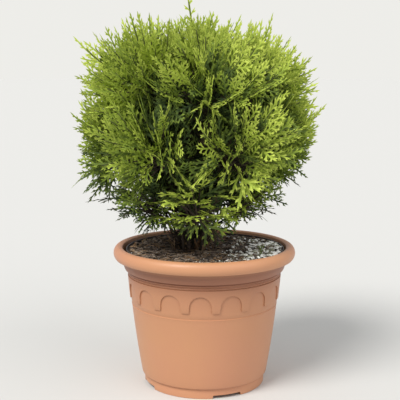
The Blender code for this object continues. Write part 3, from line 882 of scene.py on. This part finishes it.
def scatter_fibres(pile, draw, count, kinds):
    """Shreds of bark and dead shoots: thin bent strips lying on the compost."""
    for _ in range(count):
        spot = soil_spot(draw)
        if spot.x > 0.02 and draw.random() < 0.6:
            continue
        length = draw.uniform(0.005, 0.019)
        heading = Matrix.Rotation(draw.uniform(0, math.tau), 3, "Z") @ Vector((1, 0, 0))
        bow = heading.cross(UP) * draw.uniform(-0.3, 0.3) * length
        lift = draw.uniform(0.0, 0.12) * length
        path = []
        for share in (0, 1 / 3, 2 / 3, 1):
            place = spot + heading * length * share + bow * 4 * share * (1 - share)
            if math.hypot(place.x, place.y) > HEAPED[0] - 0.001:
                break
            path.append(on_soil(place, 0.0006 + lift * share))
        else:
            thick = draw.uniform(0.00035, 0.0009)
            add_tube(pile, path, [thick * s for s in (0.7, 1.0, 0.9, 0.4)], 4, draw.choice(kinds))


class THUJA_OT_compost(bpy.types.Operator):
    """Fills the nursery pot and strews bark, shreds and white granules on the compost"""

    bl_idname = "thuja.compost"
    bl_label = "Compost"

    def execute(self, context):
        settings = context.scene.thuja_compost
        draw = random.Random(5)
        soil = make_soil_body()
        settle(soil, "compost", smooth_under=60)
        soil.data.materials.append(compost_finish(tuple(settings.colour)))
        hand_over(soil, "compost", "soil")
        litter = Pile()
        chips = ((0.0025, 0.0075), 0.32, 1.8, 26, (0, 0, 1, 1, 2, 3))
        scatter_lumps(litter, draw, settings.chips, *chips)
        scatter_fibres(litter, draw, settings.fibres, (0, 0, 1, 1, 3, 2))
        finishes = rough_finishes(LITTER_FINISHES)
        hand_over(litter.made("bark_litter", finishes, smooth=False), "compost")
        white = Pile()
        for count, *how in (
            (settings.granules, (0.0027, 0.0082), 0.55, 1.2, 38, (0, 0, 0, 1), 1.1),
            (190, (0.0025, 0.0060), 0.5, 1.4, 30, (1,), 1.0),
            (150, (0.0020, 0.0048), 0.6, 1.5, 34, (2,), 0.8),
            (110, (0.0012, 0.0026), 0.85, 1.1, 90, (0,)),
            (1900, (0.0012, 0.0034), 0.75, 1.3, 90, (2, 3, 3)),
        ):
            scatter_lumps(white, draw, count, *how)
        finishes = rough_finishes(GRANULE_FINISHES)
        hand_over(white.made("granules", finishes, smooth=False), "compost")
        return {"FINISHED"}


# Limbs


def trunk_point(share):
    """The trunk's middle at a share of its height: a lean with a gentle sway."""
    sway = TRUNK_SWAY * math.sin(math.pi * share)
    return TRUNK_FOOT.lerp(TRUNK_TIP, share) + Vector((-sway, sway / 2, 0.0))


def trunk_radius(share):
    rise = share * (TRUNK_TIP.z - TRUNK_FOOT.z)
    taper = TRUNK_RADIUS + (TRUNK_TIP_RADIUS - TRUNK_RADIUS) * share
    return taper + ROOT_FLARE * math.exp(-rise / FLARE_HEIGHT)


def leaning(direction, lean):
    """The change of the crown's reach in a direction by one hollow or shoulder."""
    turn, elevation, width, change = lean
    away = math.degrees(direction.angle(aim(turn, elevation)))
    return change * math.exp(-((away / width) ** 2))


def crown_reach(direction):
    """How far the crown goes from its centre in a direction."""
    level = math.hypot(direction.x, direction.y) / CROWN_RADIUS
    above = direction.z > 0
    power = SQUARE_ABOVE if above else SQUARE_BELOW
    upright = abs(direction.z) / (CROWN_ABOVE if above else CROWN_BELOW)
    reach = (level**power + upright**power) ** (-1 / power)
    for lean in LEANS:
        reach *= 1 + leaning(direction, lean)
    return reach


def crown_point(turn, elevation, share=1.0):
    """A point at a share of the way from the crown's centre to its surface."""
    direction = aim(turn, elevation)
    return CROWN_CENTRE + direction * crown_reach(direction) * share


def from_centre(point):
    return (point - CROWN_CENTRE).normalized()


def crown_depth(point):
    """0 at the crown's centre, 1 at its surface."""
    offset = point - CROWN_CENTRE
    return offset.length / crown_reach(offset.normalized()) if offset.length > 1e-6 else 0.0


class Bough:
    """One limb: it leaves the trunk at a slope and bends towards the foliage that it carries."""

    def __init__(self, name, turn, root_share, slope, tips, length_share):
        self.name = name
        self.tips = tips
        self.root = trunk_point(root_share)
        self.tip = self.root.lerp(tips, length_share)
        self.bend = self.root + aim(turn, slope) * (self.tip - self.root).length * BEND_PLACE
        self.ends = (tips - self.tip).lerp(self.tip - self.bend, END_TURN).normalized()

    def point(self, share):
        first = self.root.lerp(self.bend, share)
        return first.lerp(self.bend.lerp(self.tip, share), share)

    def radius(self, share):
        thick = BOUGH_RADIUS + (BOUGH_TIP_RADIUS - BOUGH_RADIUS) * share
        return thick * (1 + 0.5 * math.exp(-share * 14))


class Mass:
    """One mass of foliage: where its stem starts, and the middle that its twigs leave from."""

    def __init__(self, name, foot, grows, tips):
        self.name = name
        self.foot = foot + grows * 1.2 * GAP
        self.middle = self.foot.lerp(tips, MIDDLE_PLACE)
        self.twigs = []

    def wall_to(self, other, point):
        """How far a point has passed the wall half way to another mass."""
        normal = (other.middle - self.middle).normalized()
        return normal.dot(point - (self.middle + other.middle) / 2)


def plan_boughs():
    """A bough for each mass of each tier."""
    planned = []
    for tier, count, elevation, turn, root, slope, length in TIERS:
        for i in range(count):
            heading = turn + 360 / count * i
            tips = crown_point(heading, elevation, TIPS_DEPTH)
            share = root + TIER_RISE * (2 * i % count) / count
            planned.append(Bough(f"{tier}_{i + 1}", heading, share, slope, tips, length))
    return planned


def plan_masses(boughs):
    top = Mass("foliage_top", TRUNK_TIP, UP, crown_point(0.0, 90.0, TIPS_DEPTH))
    return [top] + [Mass("foliage_" + each.name, each.tip, each.ends, each.tips) for each in boughs]


def bark_relief(depth):
    """Long fibrous ridges that run along a limb, and some broken across."""

    def relief(point, turn, along):
        x, y = math.cos(turn), math.sin(turn)
        ridges = noise.noise(Vector((x * 3.1, y * 3.1, along * 55)))
        strips = noise.noise(Vector((x * 6.5, y * 6.5, along * 130)))
        return 1 + depth * (ridges + 0.6 * strips + 0.5 * noise.noise(point * 60))

    return relief


class THUJA_OT_limbs(bpy.types.Operator):
    """Grows the trunk, the boughs and the stems that go on into the masses, with their bark"""

    bl_idname = "thuja.limbs"
    bl_label = "Trunk and boughs"

    def execute(self, context):
        boughs = plan_boughs()
        bark = rough_finish(
            "bark", (0.058, 0.048, 0.032), (0.025, 0.021, 0.014), 160.0, 0.0006, (1, 1, 0.25)
        )
        pile = Pile()
        shares = [(i / 74) ** 1.25 for i in range(75)]
        radii = [trunk_radius(share) for share in shares]
        add_tube(pile, [trunk_point(s) for s in shares], radii, 30, 0, bark_relief(0.17))
        shares = [i / 26 for i in range(27)]
        for bough in boughs:
            radii = [bough.radius(share) for share in shares]
            add_tube(pile, [bough.point(s) for s in shares], radii, 16, 0, bark_relief(0.14))
        shares = [i / 8 for i in range(9)]
        radii = [BOUGH_TIP_RADIUS * (1 - 0.75 * share**0.7) for share in shares]
        for mass in plan_masses(boughs):
            path = [mass.foot.lerp(mass.middle, share) for share in shares]
            add_tube(pile, path, radii, 10, 0, bark_relief(0.12))
        limbs = pile.made("limbs", [bark])
        hand_over(limbs, "bark", "trunk", *("bough_" + bough.name for bough in boughs))
        return {"FINISHED"}


# Sprays


class Spray:
    """A flat fern-like spray in its own plane: x along it, y across, z out of its face."""

    def __init__(self, draw, length, spread, width):
        self.points = []
        self.faces = {3: [], 4: []}
        self.ages = {3: [], 4: []}
        self.width = width
        main = self.shoot(0.0, 0.0, 0.0, length, width * 1.1, draw.uniform(-0.15, 0.15), 0)
        count = max(3, round(length / 0.0058))
        side = draw.choice((-1, 1))
        for i in range(count):
            share = 0.07 + 0.82 * (i + draw.uniform(-0.2, 0.2)) / count
            share = min(max(share, 0.03), 0.90)
            x, y, heading = self.on(main, share)
            reach = length * spread * min(1.0, 0.50 + 2.4 * share) * (1 - share) ** 0.72
            reach *= draw.uniform(0.8, 1.12)
            opens = side * math.radians(47 - 17 * share + draw.uniform(-6, 6))
            side = -side
            if reach > 0.0022:
                self.branch(draw, x, y, heading + opens, reach, -opens * 0.45)

    def branch(self, draw, x, y, heading, length, curve):
        """A side shoot, with its own small shoots, more of them on its outer side."""
        shoot = self.shoot(x, y, heading, length, self.width, curve, 1)
        outer = -1 if curve > 0 else 1
        count = int((length - 0.0030) / 0.0050)
        for i in range(count):
            share = 0.30 + 0.62 * i / max(1, count)
            side = outer if i % 3 != 1 else -outer
            u, v, at = self.on(shoot, share)
            reach = min(0.0115, length * 0.55) * (1.15 - share) * draw.uniform(0.75, 1.2)
            opens = side * math.radians(draw.uniform(26, 38))
            reach = max(reach, 0.0036)
            self.shoot(u, v, at + opens, reach, self.width * 0.92, -opens * 0.4, 1)

    def shoot(self, x, y, heading, length, width, curve, age):
        """One flat shoot with a ridge along it, a scalloped edge and a blunt tip."""
        steps = max(2, round(length / SHOOT_STEP))
        path = []
        for i in range(steps + 1):
            path.append((x, y, heading + curve * i / steps))
            step = length / (steps - 0.25) * (0.75 if i == steps - 1 else 1.0)
            x += math.cos(path[-1][2]) * step
            y += math.sin(path[-1][2]) * step
        first = len(self.points)
        for i, (px, py, at) in enumerate(path[:-1]):
            half = width / 2 * (0.62 if i == 0 else 1.0 - 0.22 * i / steps)
            half *= 1.0 if i % 2 else 0.88
            if i == steps - 1 and steps > 2:
                half *= 0.86
            out = (-math.sin(at) * half, math.cos(at) * half)
            self.points += [(px + out[0], py + out[1], 0.0), (px, py, 0.42 * half)]
            self.points.append((px - out[0], py - out[1], 0.0))
        self.points.append((path[-1][0], path[-1][1], 0.0))
        for i in range(steps - 1):
            a, b = first + 3 * i, first + 3 * (i + 1)
            self.faces[4] += [(a, a + 1, b + 1, b), (a + 1, a + 2, b + 2, b + 1)]
            self.ages[4] += [age + (1 if i >= steps * 0.7 else 0)] * 2
        last, tip = first + 3 * (steps - 1), len(self.points) - 1
        self.faces[3] += [(last, last + 1, tip), (last + 1, last + 2, tip)]
        self.ages[3] += [age + 1] * 2
        return path

    @staticmethod
    def on(path, share):
        place = share * (len(path) - 1)
        i = min(int(place), len(path) - 2)
        return tuple(p + (q - p) * (place - i) for p, q in zip(path[i], path[i + 1]))

    def freeze(self, grain):
        """Turns the lists into arrays, once, before the spray is copied."""
        self.points = np.array(self.points) * grain
        self.faces = {n: np.array(rows) for n, rows in self.faces.items()}
        self.ages = {n: np.array(ages) for n, ages in self.ages.items()}
        return self


class Sprays:
    """A stock of sprays, and their copies on the twigs."""

    def __init__(self, draw, width, grain=1.0):
        self.stock = {
            (length, spread): [
                Spray(draw, length / grain, spread, width).freeze(grain) for _ in range(SPRAY_KINDS)
            ]
            for length in SPRAY_LENGTHS
            for spread in SPRAY_SPREADS
        }

    def copy(self, draw, root, heading, face, length, spread, curl):
        """(points, spray) of one copy: it starts at root, and curl bends it up or down."""
        size = min(SPRAY_LENGTHS, key=lambda each: abs(each - length))
        spray = draw.choice(self.stock[size, spread])
        scale = min(max(length / size, 0.85), 1.2)
        across = face.cross(heading).normalized()
        x, y, z = (spray.points * scale).T
        share = x / (size * scale)
        twist = draw.uniform(-0.5, 0.5) * share
        cup = draw.uniform(-10.0, 14.0)
        y, z = y * np.cos(twist) - z * np.sin(twist), y * np.sin(twist) + z * np.cos(twist)
        z = z + cup * y * y
        points = np.outer(x, heading) + np.outer(y, across) + np.outer(z, face)
        points += np.array(root) + np.outer(share * share * length * curl, UP)
        return points, spray


class Twig:
    """A twig from a mass's stem to a tip, on the bent spine of the source's rule."""

    def __init__(self, mass, draw, tip, kind):
        self.inner = kind == "inner"
        self.stray = kind == "stray"
        self.limit = 1.12 if kind == "fan" else 1.02
        self.droops = tip.z < DROOP_BELOW
        self.root = mass.foot.lerp(mass.middle, draw.uniform(0.45, 1.0))
        self.along = tip - self.root
        out = from_centre(tip)
        hanging = leaning(out, HANGING)
        self.bold = hanging > 0.45 and not self.inner
        height = min(max((tip.z - DROOP_BELOW) / (CLIMBS_FROM - DROOP_BELOW), 0.0), 1.0)
        goes = out + UP * (DROOP + (CLIMB - DROOP) * height - 0.9 * hanging)
        goes += Vector([draw.uniform(-0.3, 0.3) for _ in range(3)])
        self.rise = (self.along - goes.normalized() * self.along.length) * ARCH
        across, over = side_ways(goes.normalized())
        roll = math.radians(90 + draw.uniform(-25, 25) if self.stray else draw.uniform(35, 145))
        self.across = across * math.cos(roll) + over * math.sin(roll)
        if self.droops:
            face = Vector((out.x, out.y, 0.0)).normalized() + across * draw.choice((-0.6, 0.6))
            face += Vector([draw.uniform(-0.35, 0.35) for _ in range(3)])
            self.across = face.cross(goes).normalized()

    def at(self, share):
        return self.root + self.along * share + self.rise * (share - share * share)

    def flat(self, share):
        """(heading, across, face) of the twig's own plane at a share."""
        heading = (self.along + self.rise * (1 - 2 * share)).normalized()
        across = (self.across - heading * self.across.dot(heading)).normalized()
        return heading, across, heading.cross(across)


def spread_tips(count):
    """(turn, elevation) evenly over the crown by the golden angle."""
    for i in range(count):
        elevation = math.degrees(math.asin(1 - 2 * (i + 0.5) / count))
        if elevation > LOWEST_SPRAY:
            yield GOLDEN_ANGLE * i, elevation


def furrow(point):
    """How far the crown's top draws in between its three heads."""
    if point.z < FURROWS_FROM:
        return 0.0
    return sum(math.exp(-(((point.x - middle) / wide) ** 2)) for middle, wide in FURROWS)


def plan_twigs(masses, draw, outer, inner):
    """Every twig of the crown, each given to the mass whose middle is nearest its tip."""
    tips = [(crown_point(*tip), "stray") for tip in STRAY_TIPS]
    for turn, elevation in spread_tips(outer):
        reach = 1.01 - SPRAY_DEPTHS * draw.random() ** 1.6
        turn += draw.uniform(-4, 4)
        elevation += draw.uniform(-3, 3)
        surface = crown_point(turn, elevation)
        direction = from_centre(surface)
        reach += leaning(direction, THIN_SIDE) - FURROW_DEPTH * furrow(surface)
        hollow = leaning(direction, HOLLOW)
        reach -= HOLLOW_DEPTH * hollow * draw.random()
        if draw.random() > HOLLOW_OPEN * hollow:
            tips.append((crown_point(turn, elevation, reach), "outer"))
    tips += [(crown_point(*tip), "fan") for tip in FAN_TIPS]
    for turn, elevation in spread_tips(inner):
        tips.append((crown_point(turn + 11, elevation, draw.uniform(0.30, 0.80)), "inner"))
    for tip, kind in tips:
        mass = min(masses, key=lambda each: (each.middle - tip).length)
        others = [other for other in masses if other is not mass]
        for _ in range(TWIG_TRIES):
            twig = Twig(mass, draw, tip, kind)
            spine = [twig.at(0.25 * i) for i in range(1, 5)]
            if all(mass.wall_to(other, co) < MASS_OVERLAP for other in others for co in spine):
                break
        mass.twigs.append(twig)


def above_pot(points):
    """Whether points stay over the rim and the compost."""
    away = np.hypot(points[:, 0], points[:, 1])
    lowest = np.where(away < INSIDE_RIM, LOWEST_OVER_SOIL, LOWEST_OVER_RIM)
    return bool((points[:, 2] > lowest).all())


def leaf_tone_and_painted_light(draw, end, tone):
    """Which green a spray takes: dark inside and low, light outside, dull at the very tips. This is
    mostly painted shade and painted light, with some older growth inside, duller tips and a random
    tone.
    """
    depth = crown_depth(end)
    # Painted shade deeper in the crown, partly older growth there.
    shade = 1.0 + 4.6 * (depth - 0.52) / 0.36
    # The very tips darker: partly painted shade of tips seen against the light, partly their duller
    # colour.
    if depth > 0.94:
        shade -= 13 * (min(depth, 1.03) - 0.94)
    # Painted light higher up and painted shade low down.
    rise = (end.z - 0.38) / 0.15
    shade = min(shade, 5.4) + rise * (1.0 if rise > 0 else 4.7 * min(depth, 1.0) ** 2)
    direction = from_centre(end)
    # Painted shade deep in the hollow and painted light on the sprays in front of it.
    shade += 18 * leaning(direction, HOLLOW) * min(max(depth - 0.90, -0.12), 0.06)
    # Painted light on the hanging sprays at the front.
    if depth > 0.8:
        shade += 4.8 * leaning(direction, HANGING)
    return min(max(round(shade + tone + draw.uniform(-0.7, 0.7)), 0), LIGHTEST)


class Dresser:
    """Lays sprays on the twigs of one mass and gathers them into one mesh."""

    def __init__(self, draw, finishes):
        self.draw = draw
        self.finishes = finishes
        self.pile = Pile()
        self.tone = 0.0

    def lay(self, stock, root, heading, face, length, spread, curl, lightest=LIGHTEST):
        """One spray, cut short or left out where it would reach the planter or the compost."""
        for _ in range(3):
            points, spray = stock.copy(self.draw, root, heading, face, length, spread, curl)
            if above_pot(points):
                break
            length *= 0.65
        else:
            return
        shade = min(leaf_tone_and_painted_light(self.draw, root + heading * length, self.tone), lightest)
        most = len(self.finishes) - 1
        kinds = {n: np.clip(shade - 1 + ages, 0, most) for n, ages in spray.ages.items()}
        self.pile.add(points, spray.faces, kinds)

    def twig(self, twig, stock):
        """Sprays along both sides of an outer twig and one that carries on from its end."""
        draw = self.draw
        self.tone = draw.uniform(-1.1, 1.1)
        size = twig.along.length
        curl = draw.uniform(-0.25, -0.02) if twig.droops else draw.uniform(-0.02, 0.22)
        terminal = min(0.054, 0.42 * size)
        first, stop = 0.30, 1 - 0.97 * terminal / size
        heading, _, face = twig.flat(stop)
        spread = 0.34 if twig.stray else draw.choice((0.34, 0.46))
        self.lay(stock, twig.at(stop), heading, face, terminal, spread, curl)
        count = max(2, round((stop - first) * size / 0.0095))
        side = draw.choice((-1, 1))
        for i in range(count):
            share = first + (stop - first) * (i + draw.uniform(0.2, 0.8)) / count
            heading, across, face = twig.flat(share)
            opens = math.radians(draw.uniform(32, 52))
            goes = heading * math.cos(opens) + across * side * math.sin(opens)
            tilt = Matrix.Rotation(math.radians(draw.uniform(-20, 20)), 3, goes)
            side = -side
            length = (0.049 - 0.016 * share) * draw.uniform(0.72, 1.12)
            length *= 0.8 if twig.droops else 1.0
            root = twig.at(share)
            if crown_depth(root + goes * length) > twig.limit:
                length *= 0.66
            if crown_depth(root + goes * length) < twig.limit + 0.025:
                self.lay(stock, root, goes, tilt @ face, length, draw.choice((0.46, 0.58)), curl)

    def inner_twig(self, twig, stock):
        """Broad old sprays in the shade, which close the crown's inside."""
        draw = self.draw
        count = max(3, round(twig.along.length / 0.011))
        for i in range(count + 1):
            share = 0.12 + 0.80 * i / count
            heading, across, face = twig.flat(share)
            opens = 0.0 if i == count else math.radians(draw.uniform(35, 75) * (-1) ** i)
            goes = heading * math.cos(opens) + across * math.sin(opens)
            tilt = Matrix.Rotation(draw.uniform(0, math.tau), 3, goes)
            length = draw.uniform(0.034, 0.050)
            depth = crown_depth(twig.at(share) + goes * length)
            if depth < 0.88:
                # Painted shade: the inner sprays are held to the darkest greens, darker the deeper
                # they end.
                lightest = 2 if depth < 0.74 else 3
                self.lay(stock, twig.at(share), goes, tilt @ face, length, 0.58, 0.0, lightest)

    def drop(self, stock, root, heading, face, length, curl, shades):
        """One dead spray on the compost."""
        points, spray = stock.copy(self.draw, root, heading, face, length, 0.34, curl)
        self.pile.add(points, spray.faces, self.draw.choice(shades))

    def fallen(self, stock, count):
        """Dead sprays strewn on the compost and heaped at the trunk's foot, and a green sprig."""
        draw = self.draw
        for _ in range(count):
            spot = soil_spot(draw)
            heading = around(draw.uniform(-180, 180), 1.0, draw.uniform(-0.05, 0.25)).normalized()
            length = draw.uniform(0.011, 0.021)
            end = spot + heading * length
            if spot.x > 0.045 or math.hypot(end.x, end.y) > HEAPED[0] - 0.002:
                continue
            flat = heading.cross(heading.cross(UP)).normalized()
            face = Matrix.Rotation(draw.uniform(-0.5, 0.5), 3, heading) @ flat
            self.drop(stock, on_soil(spot, 0.0015), heading, face, length, 0.0, (0, 1, 2))
        shift = Vector((NURSERY_SHIFT, 0.0, 0.0))
        for i in range(FOOT_SPRAYS):
            turn = i * NEXT_TURN
            root = on_soil(TRUNK_FOOT + around(turn, draw.uniform(0.006, 0.034), 0.0) - shift)
            heading = around(turn + draw.uniform(-70, 70), 1.0, draw.uniform(0.3, 2.6)).normalized()
            face = Matrix.Rotation(draw.uniform(0, math.pi), 3, heading) @ side_ways(heading)[0]
            length = draw.uniform(0.014, 0.030)
            self.drop(stock, root, heading, face, length, -0.2, (0, 1, 1, 2))
        root = on_soil(Vector((*SPRIG, 0.0)) - shift)
        for turn, out in ((-60, 0.25), (30, 0.1), (110, 0.35), (0, 0.0)):
            heading = around(turn, out, 1.0).normalized()
            face = heading.cross(side_ways(heading)[0])
            points, spray = stock.copy(draw, root, heading, face, 0.016, 0.46, 0.0)
            self.pile.add(points, spray.faces, {n: ages + 3 for n, ages in spray.ages.items()})


def add_low_stems(pile, draw):
    """Thin dark stems that leave the trunk's foot and the compost and rise into the crown."""
    for i in range(LOW_STEMS):
        turn = i * NEXT_TURN + draw.uniform(-20, 20)
        root = TRUNK_FOOT + around(turn, 0.004 + 0.025 * math.sqrt(draw.random()), 0.0)
        root.z = soil_height(root.x - NURSERY_SHIFT, root.y) - 0.002
        goes = aim(turn, draw.uniform(52, 88))
        length = draw.uniform(0.050, 0.115)
        bow = around(turn, 1.0, 0.0) * draw.uniform(-0.12, 0.28)
        wave = side_ways(goes)[0] * draw.uniform(-0.0022, 0.0022)
        thick = draw.uniform(0.0007, 0.0019)
        path, radii = [], []
        for k in range(10):
            share = k / 9
            straight = root + goes * length * share + bow * length * share**2
            path.append(straight + wave * math.sin(k * 1.3))
            radii.append(thick * (1 - 0.5 * share))
        add_tube(pile, path, radii, 7, 0)


def add_dead_twigs(pile, draw):
    """Bare brown twigs round the trunk's foot and in the shade under the crown."""
    for i in range(DEAD_TWIGS):
        root = trunk_point(draw.uniform(0.01, 0.34))
        goes = aim(i * NEXT_TURN, draw.uniform(15, 75))
        length = draw.uniform(0.025, 0.062)
        side = goes.cross(UP).normalized() * draw.uniform(-0.2, 0.2)
        path = []
        for k in range(6):
            part = k / 5
            sag = -0.35 * length * part * part * draw.uniform(0.6, 1.0)
            path.append(root + (goes + side * part) * length * part + UP * sag)
        if min(point.z for point in path) >= HEAPED[1]:
            thick = draw.uniform(0.0005, 0.0011)
            add_tube(pile, path, [thick * (1 - 0.7 * k / 5) for k in range(6)], 4, 0)


def make_twigs(masses, draw, finishes):
    """The woody part of every twig, brown inside and green towards the tips."""
    pile = Pile()
    add_low_stems(pile, draw)
    shares = [0.84 * i / 7 for i in range(8)]
    radii = [TWIG_RADIUS * (1 - 0.62 * share) for share in shares]
    for mass in masses:
        for twig in mass.twigs:
            path = [twig.at(share) for share in shares]
            add_tube(pile, path[:5], radii[:5], 5, 0)
            add_tube(pile, path[4:], radii[4:], 5, 1)
    add_dead_twigs(pile, draw)
    return pile.made("twigs", finishes)


class THUJA_OT_crown(bpy.types.Operator):
    """Grows the twigs of every mass and dresses them with sprays"""

    bl_idname = "thuja.crown"
    bl_label = "Crown"

    def execute(self, context):
        settings = context.scene.thuja_crown
        draw = random.Random(settings.seed)
        masses = plan_masses(plan_boughs())
        plan_twigs(masses, draw, settings.twigs, settings.inner_twigs)
        fresh = Sprays(draw, settings.shoot_width)
        old = Sprays(draw, settings.shoot_width * 1.25)
        bold = Sprays(draw, settings.shoot_width * 1.1, 1.3)
        greens = [leaf_finish(*row) for row in GREENS]
        for mass in masses:
            dresser = Dresser(draw, greens)
            for twig in mass.twigs:
                if twig.inner:
                    dresser.inner_twig(twig, old)
                else:
                    dresser.twig(twig, bold if twig.bold else fresh)
            piece = dresser.pile.made(mass.name.replace("foliage", "sprays"), greens)
            hand_over(piece, "foliage", mass.name)
        dresser = Dresser(draw, rough_finishes(FALLEN_FINISHES) + greens[3:])
        dresser.fallen(fresh, settings.fallen)
        hand_over(dresser.pile.made("fallen_sprays", dresser.finishes), "foliage")
        hand_over(make_twigs(masses, draw, rough_finishes(TWIG_FINISHES)), "bark")
        return {"FINISHED"}


# Stage


class THUJA_OT_stage(bpy.types.Operator):
    """Sets the floor, the soft light and the camera"""

    bl_idname = "thuja.stage"
    bl_label = "Stage"

    def execute(self, context):
        settings = context.scene.thuja_stage
        start_clean()
        bpy.ops.mesh.primitive_circle_add(vertices=96, radius=60.0, fill_type="NGON")
        floor = context.object
        settle(floor, "floor")
        paint = Finish("floor_paint", tuple(settings.floor_colour), 0.9)
        paint.set("Specular IOR Level", 0.0)
        floor.data.materials.append(paint.material)
        self.make_world(context.scene, settings)
        self.add_sun("soft key", Vector((0.62, 0.72, -1.15)), settings.sun, 26)
        self.add_sun("fill", Vector((-0.66, 0.62, -0.70)), settings.sun * 0.27, 50)
        camera = bpy.data.objects.new("camera", bpy.data.cameras.new("camera"))
        context.scene.collection.objects.link(camera)
        camera.location = (-0.0062, -1.2, 0.443)
        camera.rotation_euler = (math.radians(81.5), 0.0, 0.0)
        camera.data.lens = 76.5
        camera.data.clip_end = 200
        context.scene.camera = camera
        context.scene.view_settings.view_transform = "Standard"
        return {"FINISHED"}

    @staticmethod
    def add_sun(name, goes, strength, angle):
        bpy.ops.object.light_add(type="SUN", location=-3 * goes)
        sun = bpy.context.object
        sun.name = name
        sun.data.energy = strength
        sun.data.angle = math.radians(angle)
        sun.data.color = (1.0, 0.98, 0.94)
        sun.rotation_euler = goes.to_track_quat("-Z", "Y").to_euler()

    @staticmethod
    def make_world(scene, settings):
        """Even light all round, and a plain backdrop that matches the floor."""
        scene.world = bpy.data.worlds.new("studio")
        scene.world.use_nodes = True
        tree = scene.world.node_tree
        light = tree.nodes["Background"]
        plain = tree.nodes.new("ShaderNodeBackground")
        seen = tree.nodes.new("ShaderNodeLightPath")
        mix = tree.nodes.new("ShaderNodeMixShader")
        for node, colour, strength in (
            (light, (0.97, 0.985, 1.0, 1.0), settings.sky),
            (plain, (1.0, 0.994, 0.955, 1.0), settings.backdrop),
        ):
            node.inputs["Color"].default_value = colour
            node.inputs["Strength"].default_value = strength
        tree.links.new(seen.outputs["Is Camera Ray"], mix.inputs[0])
        tree.links.new(light.outputs[0], mix.inputs[1])
        tree.links.new(plain.outputs[0], mix.inputs[2])
        tree.links.new(mix.outputs[0], tree.nodes["World Output"].inputs["Surface"])


class THUJA_PT_panel(bpy.types.Panel):
    """The steps of the plant, in order"""

    bl_label = "Potted globe thuja"
    bl_idname = "THUJA_PT_panel"
    bl_space_type = "VIEW_3D"
    bl_region_type = "UI"
    bl_category = "Thuja"

    def draw(self, context):
        layout = self.layout
        for name in SETTINGS:
            box = layout.box()
            group = getattr(context.scene, name)
            for key in type(group).__annotations__:
                box.prop(group, key)
        for step in STEPS:
            layout.operator(step.bl_idname)


SETTINGS = {
    "thuja_planter": PlanterSettings,
    "thuja_compost": CompostSettings,
    "thuja_crown": CrownSettings,
    "thuja_stage": StageSettings,
}
STEPS = (
    THUJA_OT_stage,
    THUJA_OT_planter,
    THUJA_OT_nursery_pot,
    THUJA_OT_compost,
    THUJA_OT_limbs,
    THUJA_OT_crown,
)
CLASSES = (*SETTINGS.values(), *STEPS, THUJA_PT_panel)


def register():
    for each in CLASSES:
        bpy.utils.register_class(each)
    for name, group in SETTINGS.items():
        setattr(bpy.types.Scene, name, PointerProperty(type=group))


def unregister():
    for name in SETTINGS:
        delattr(bpy.types.Scene, name)
    for each in reversed(CLASSES):
        bpy.utils.unregister_class(each)


def main():
    register()
    bpy.ops.thuja.stage()
    bpy.ops.thuja.planter()
    bpy.ops.thuja.nursery_pot()
    bpy.ops.thuja.compost()
    bpy.ops.thuja.limbs()
    bpy.ops.thuja.crown()
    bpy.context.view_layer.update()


if __name__ == "__main__":
    main()
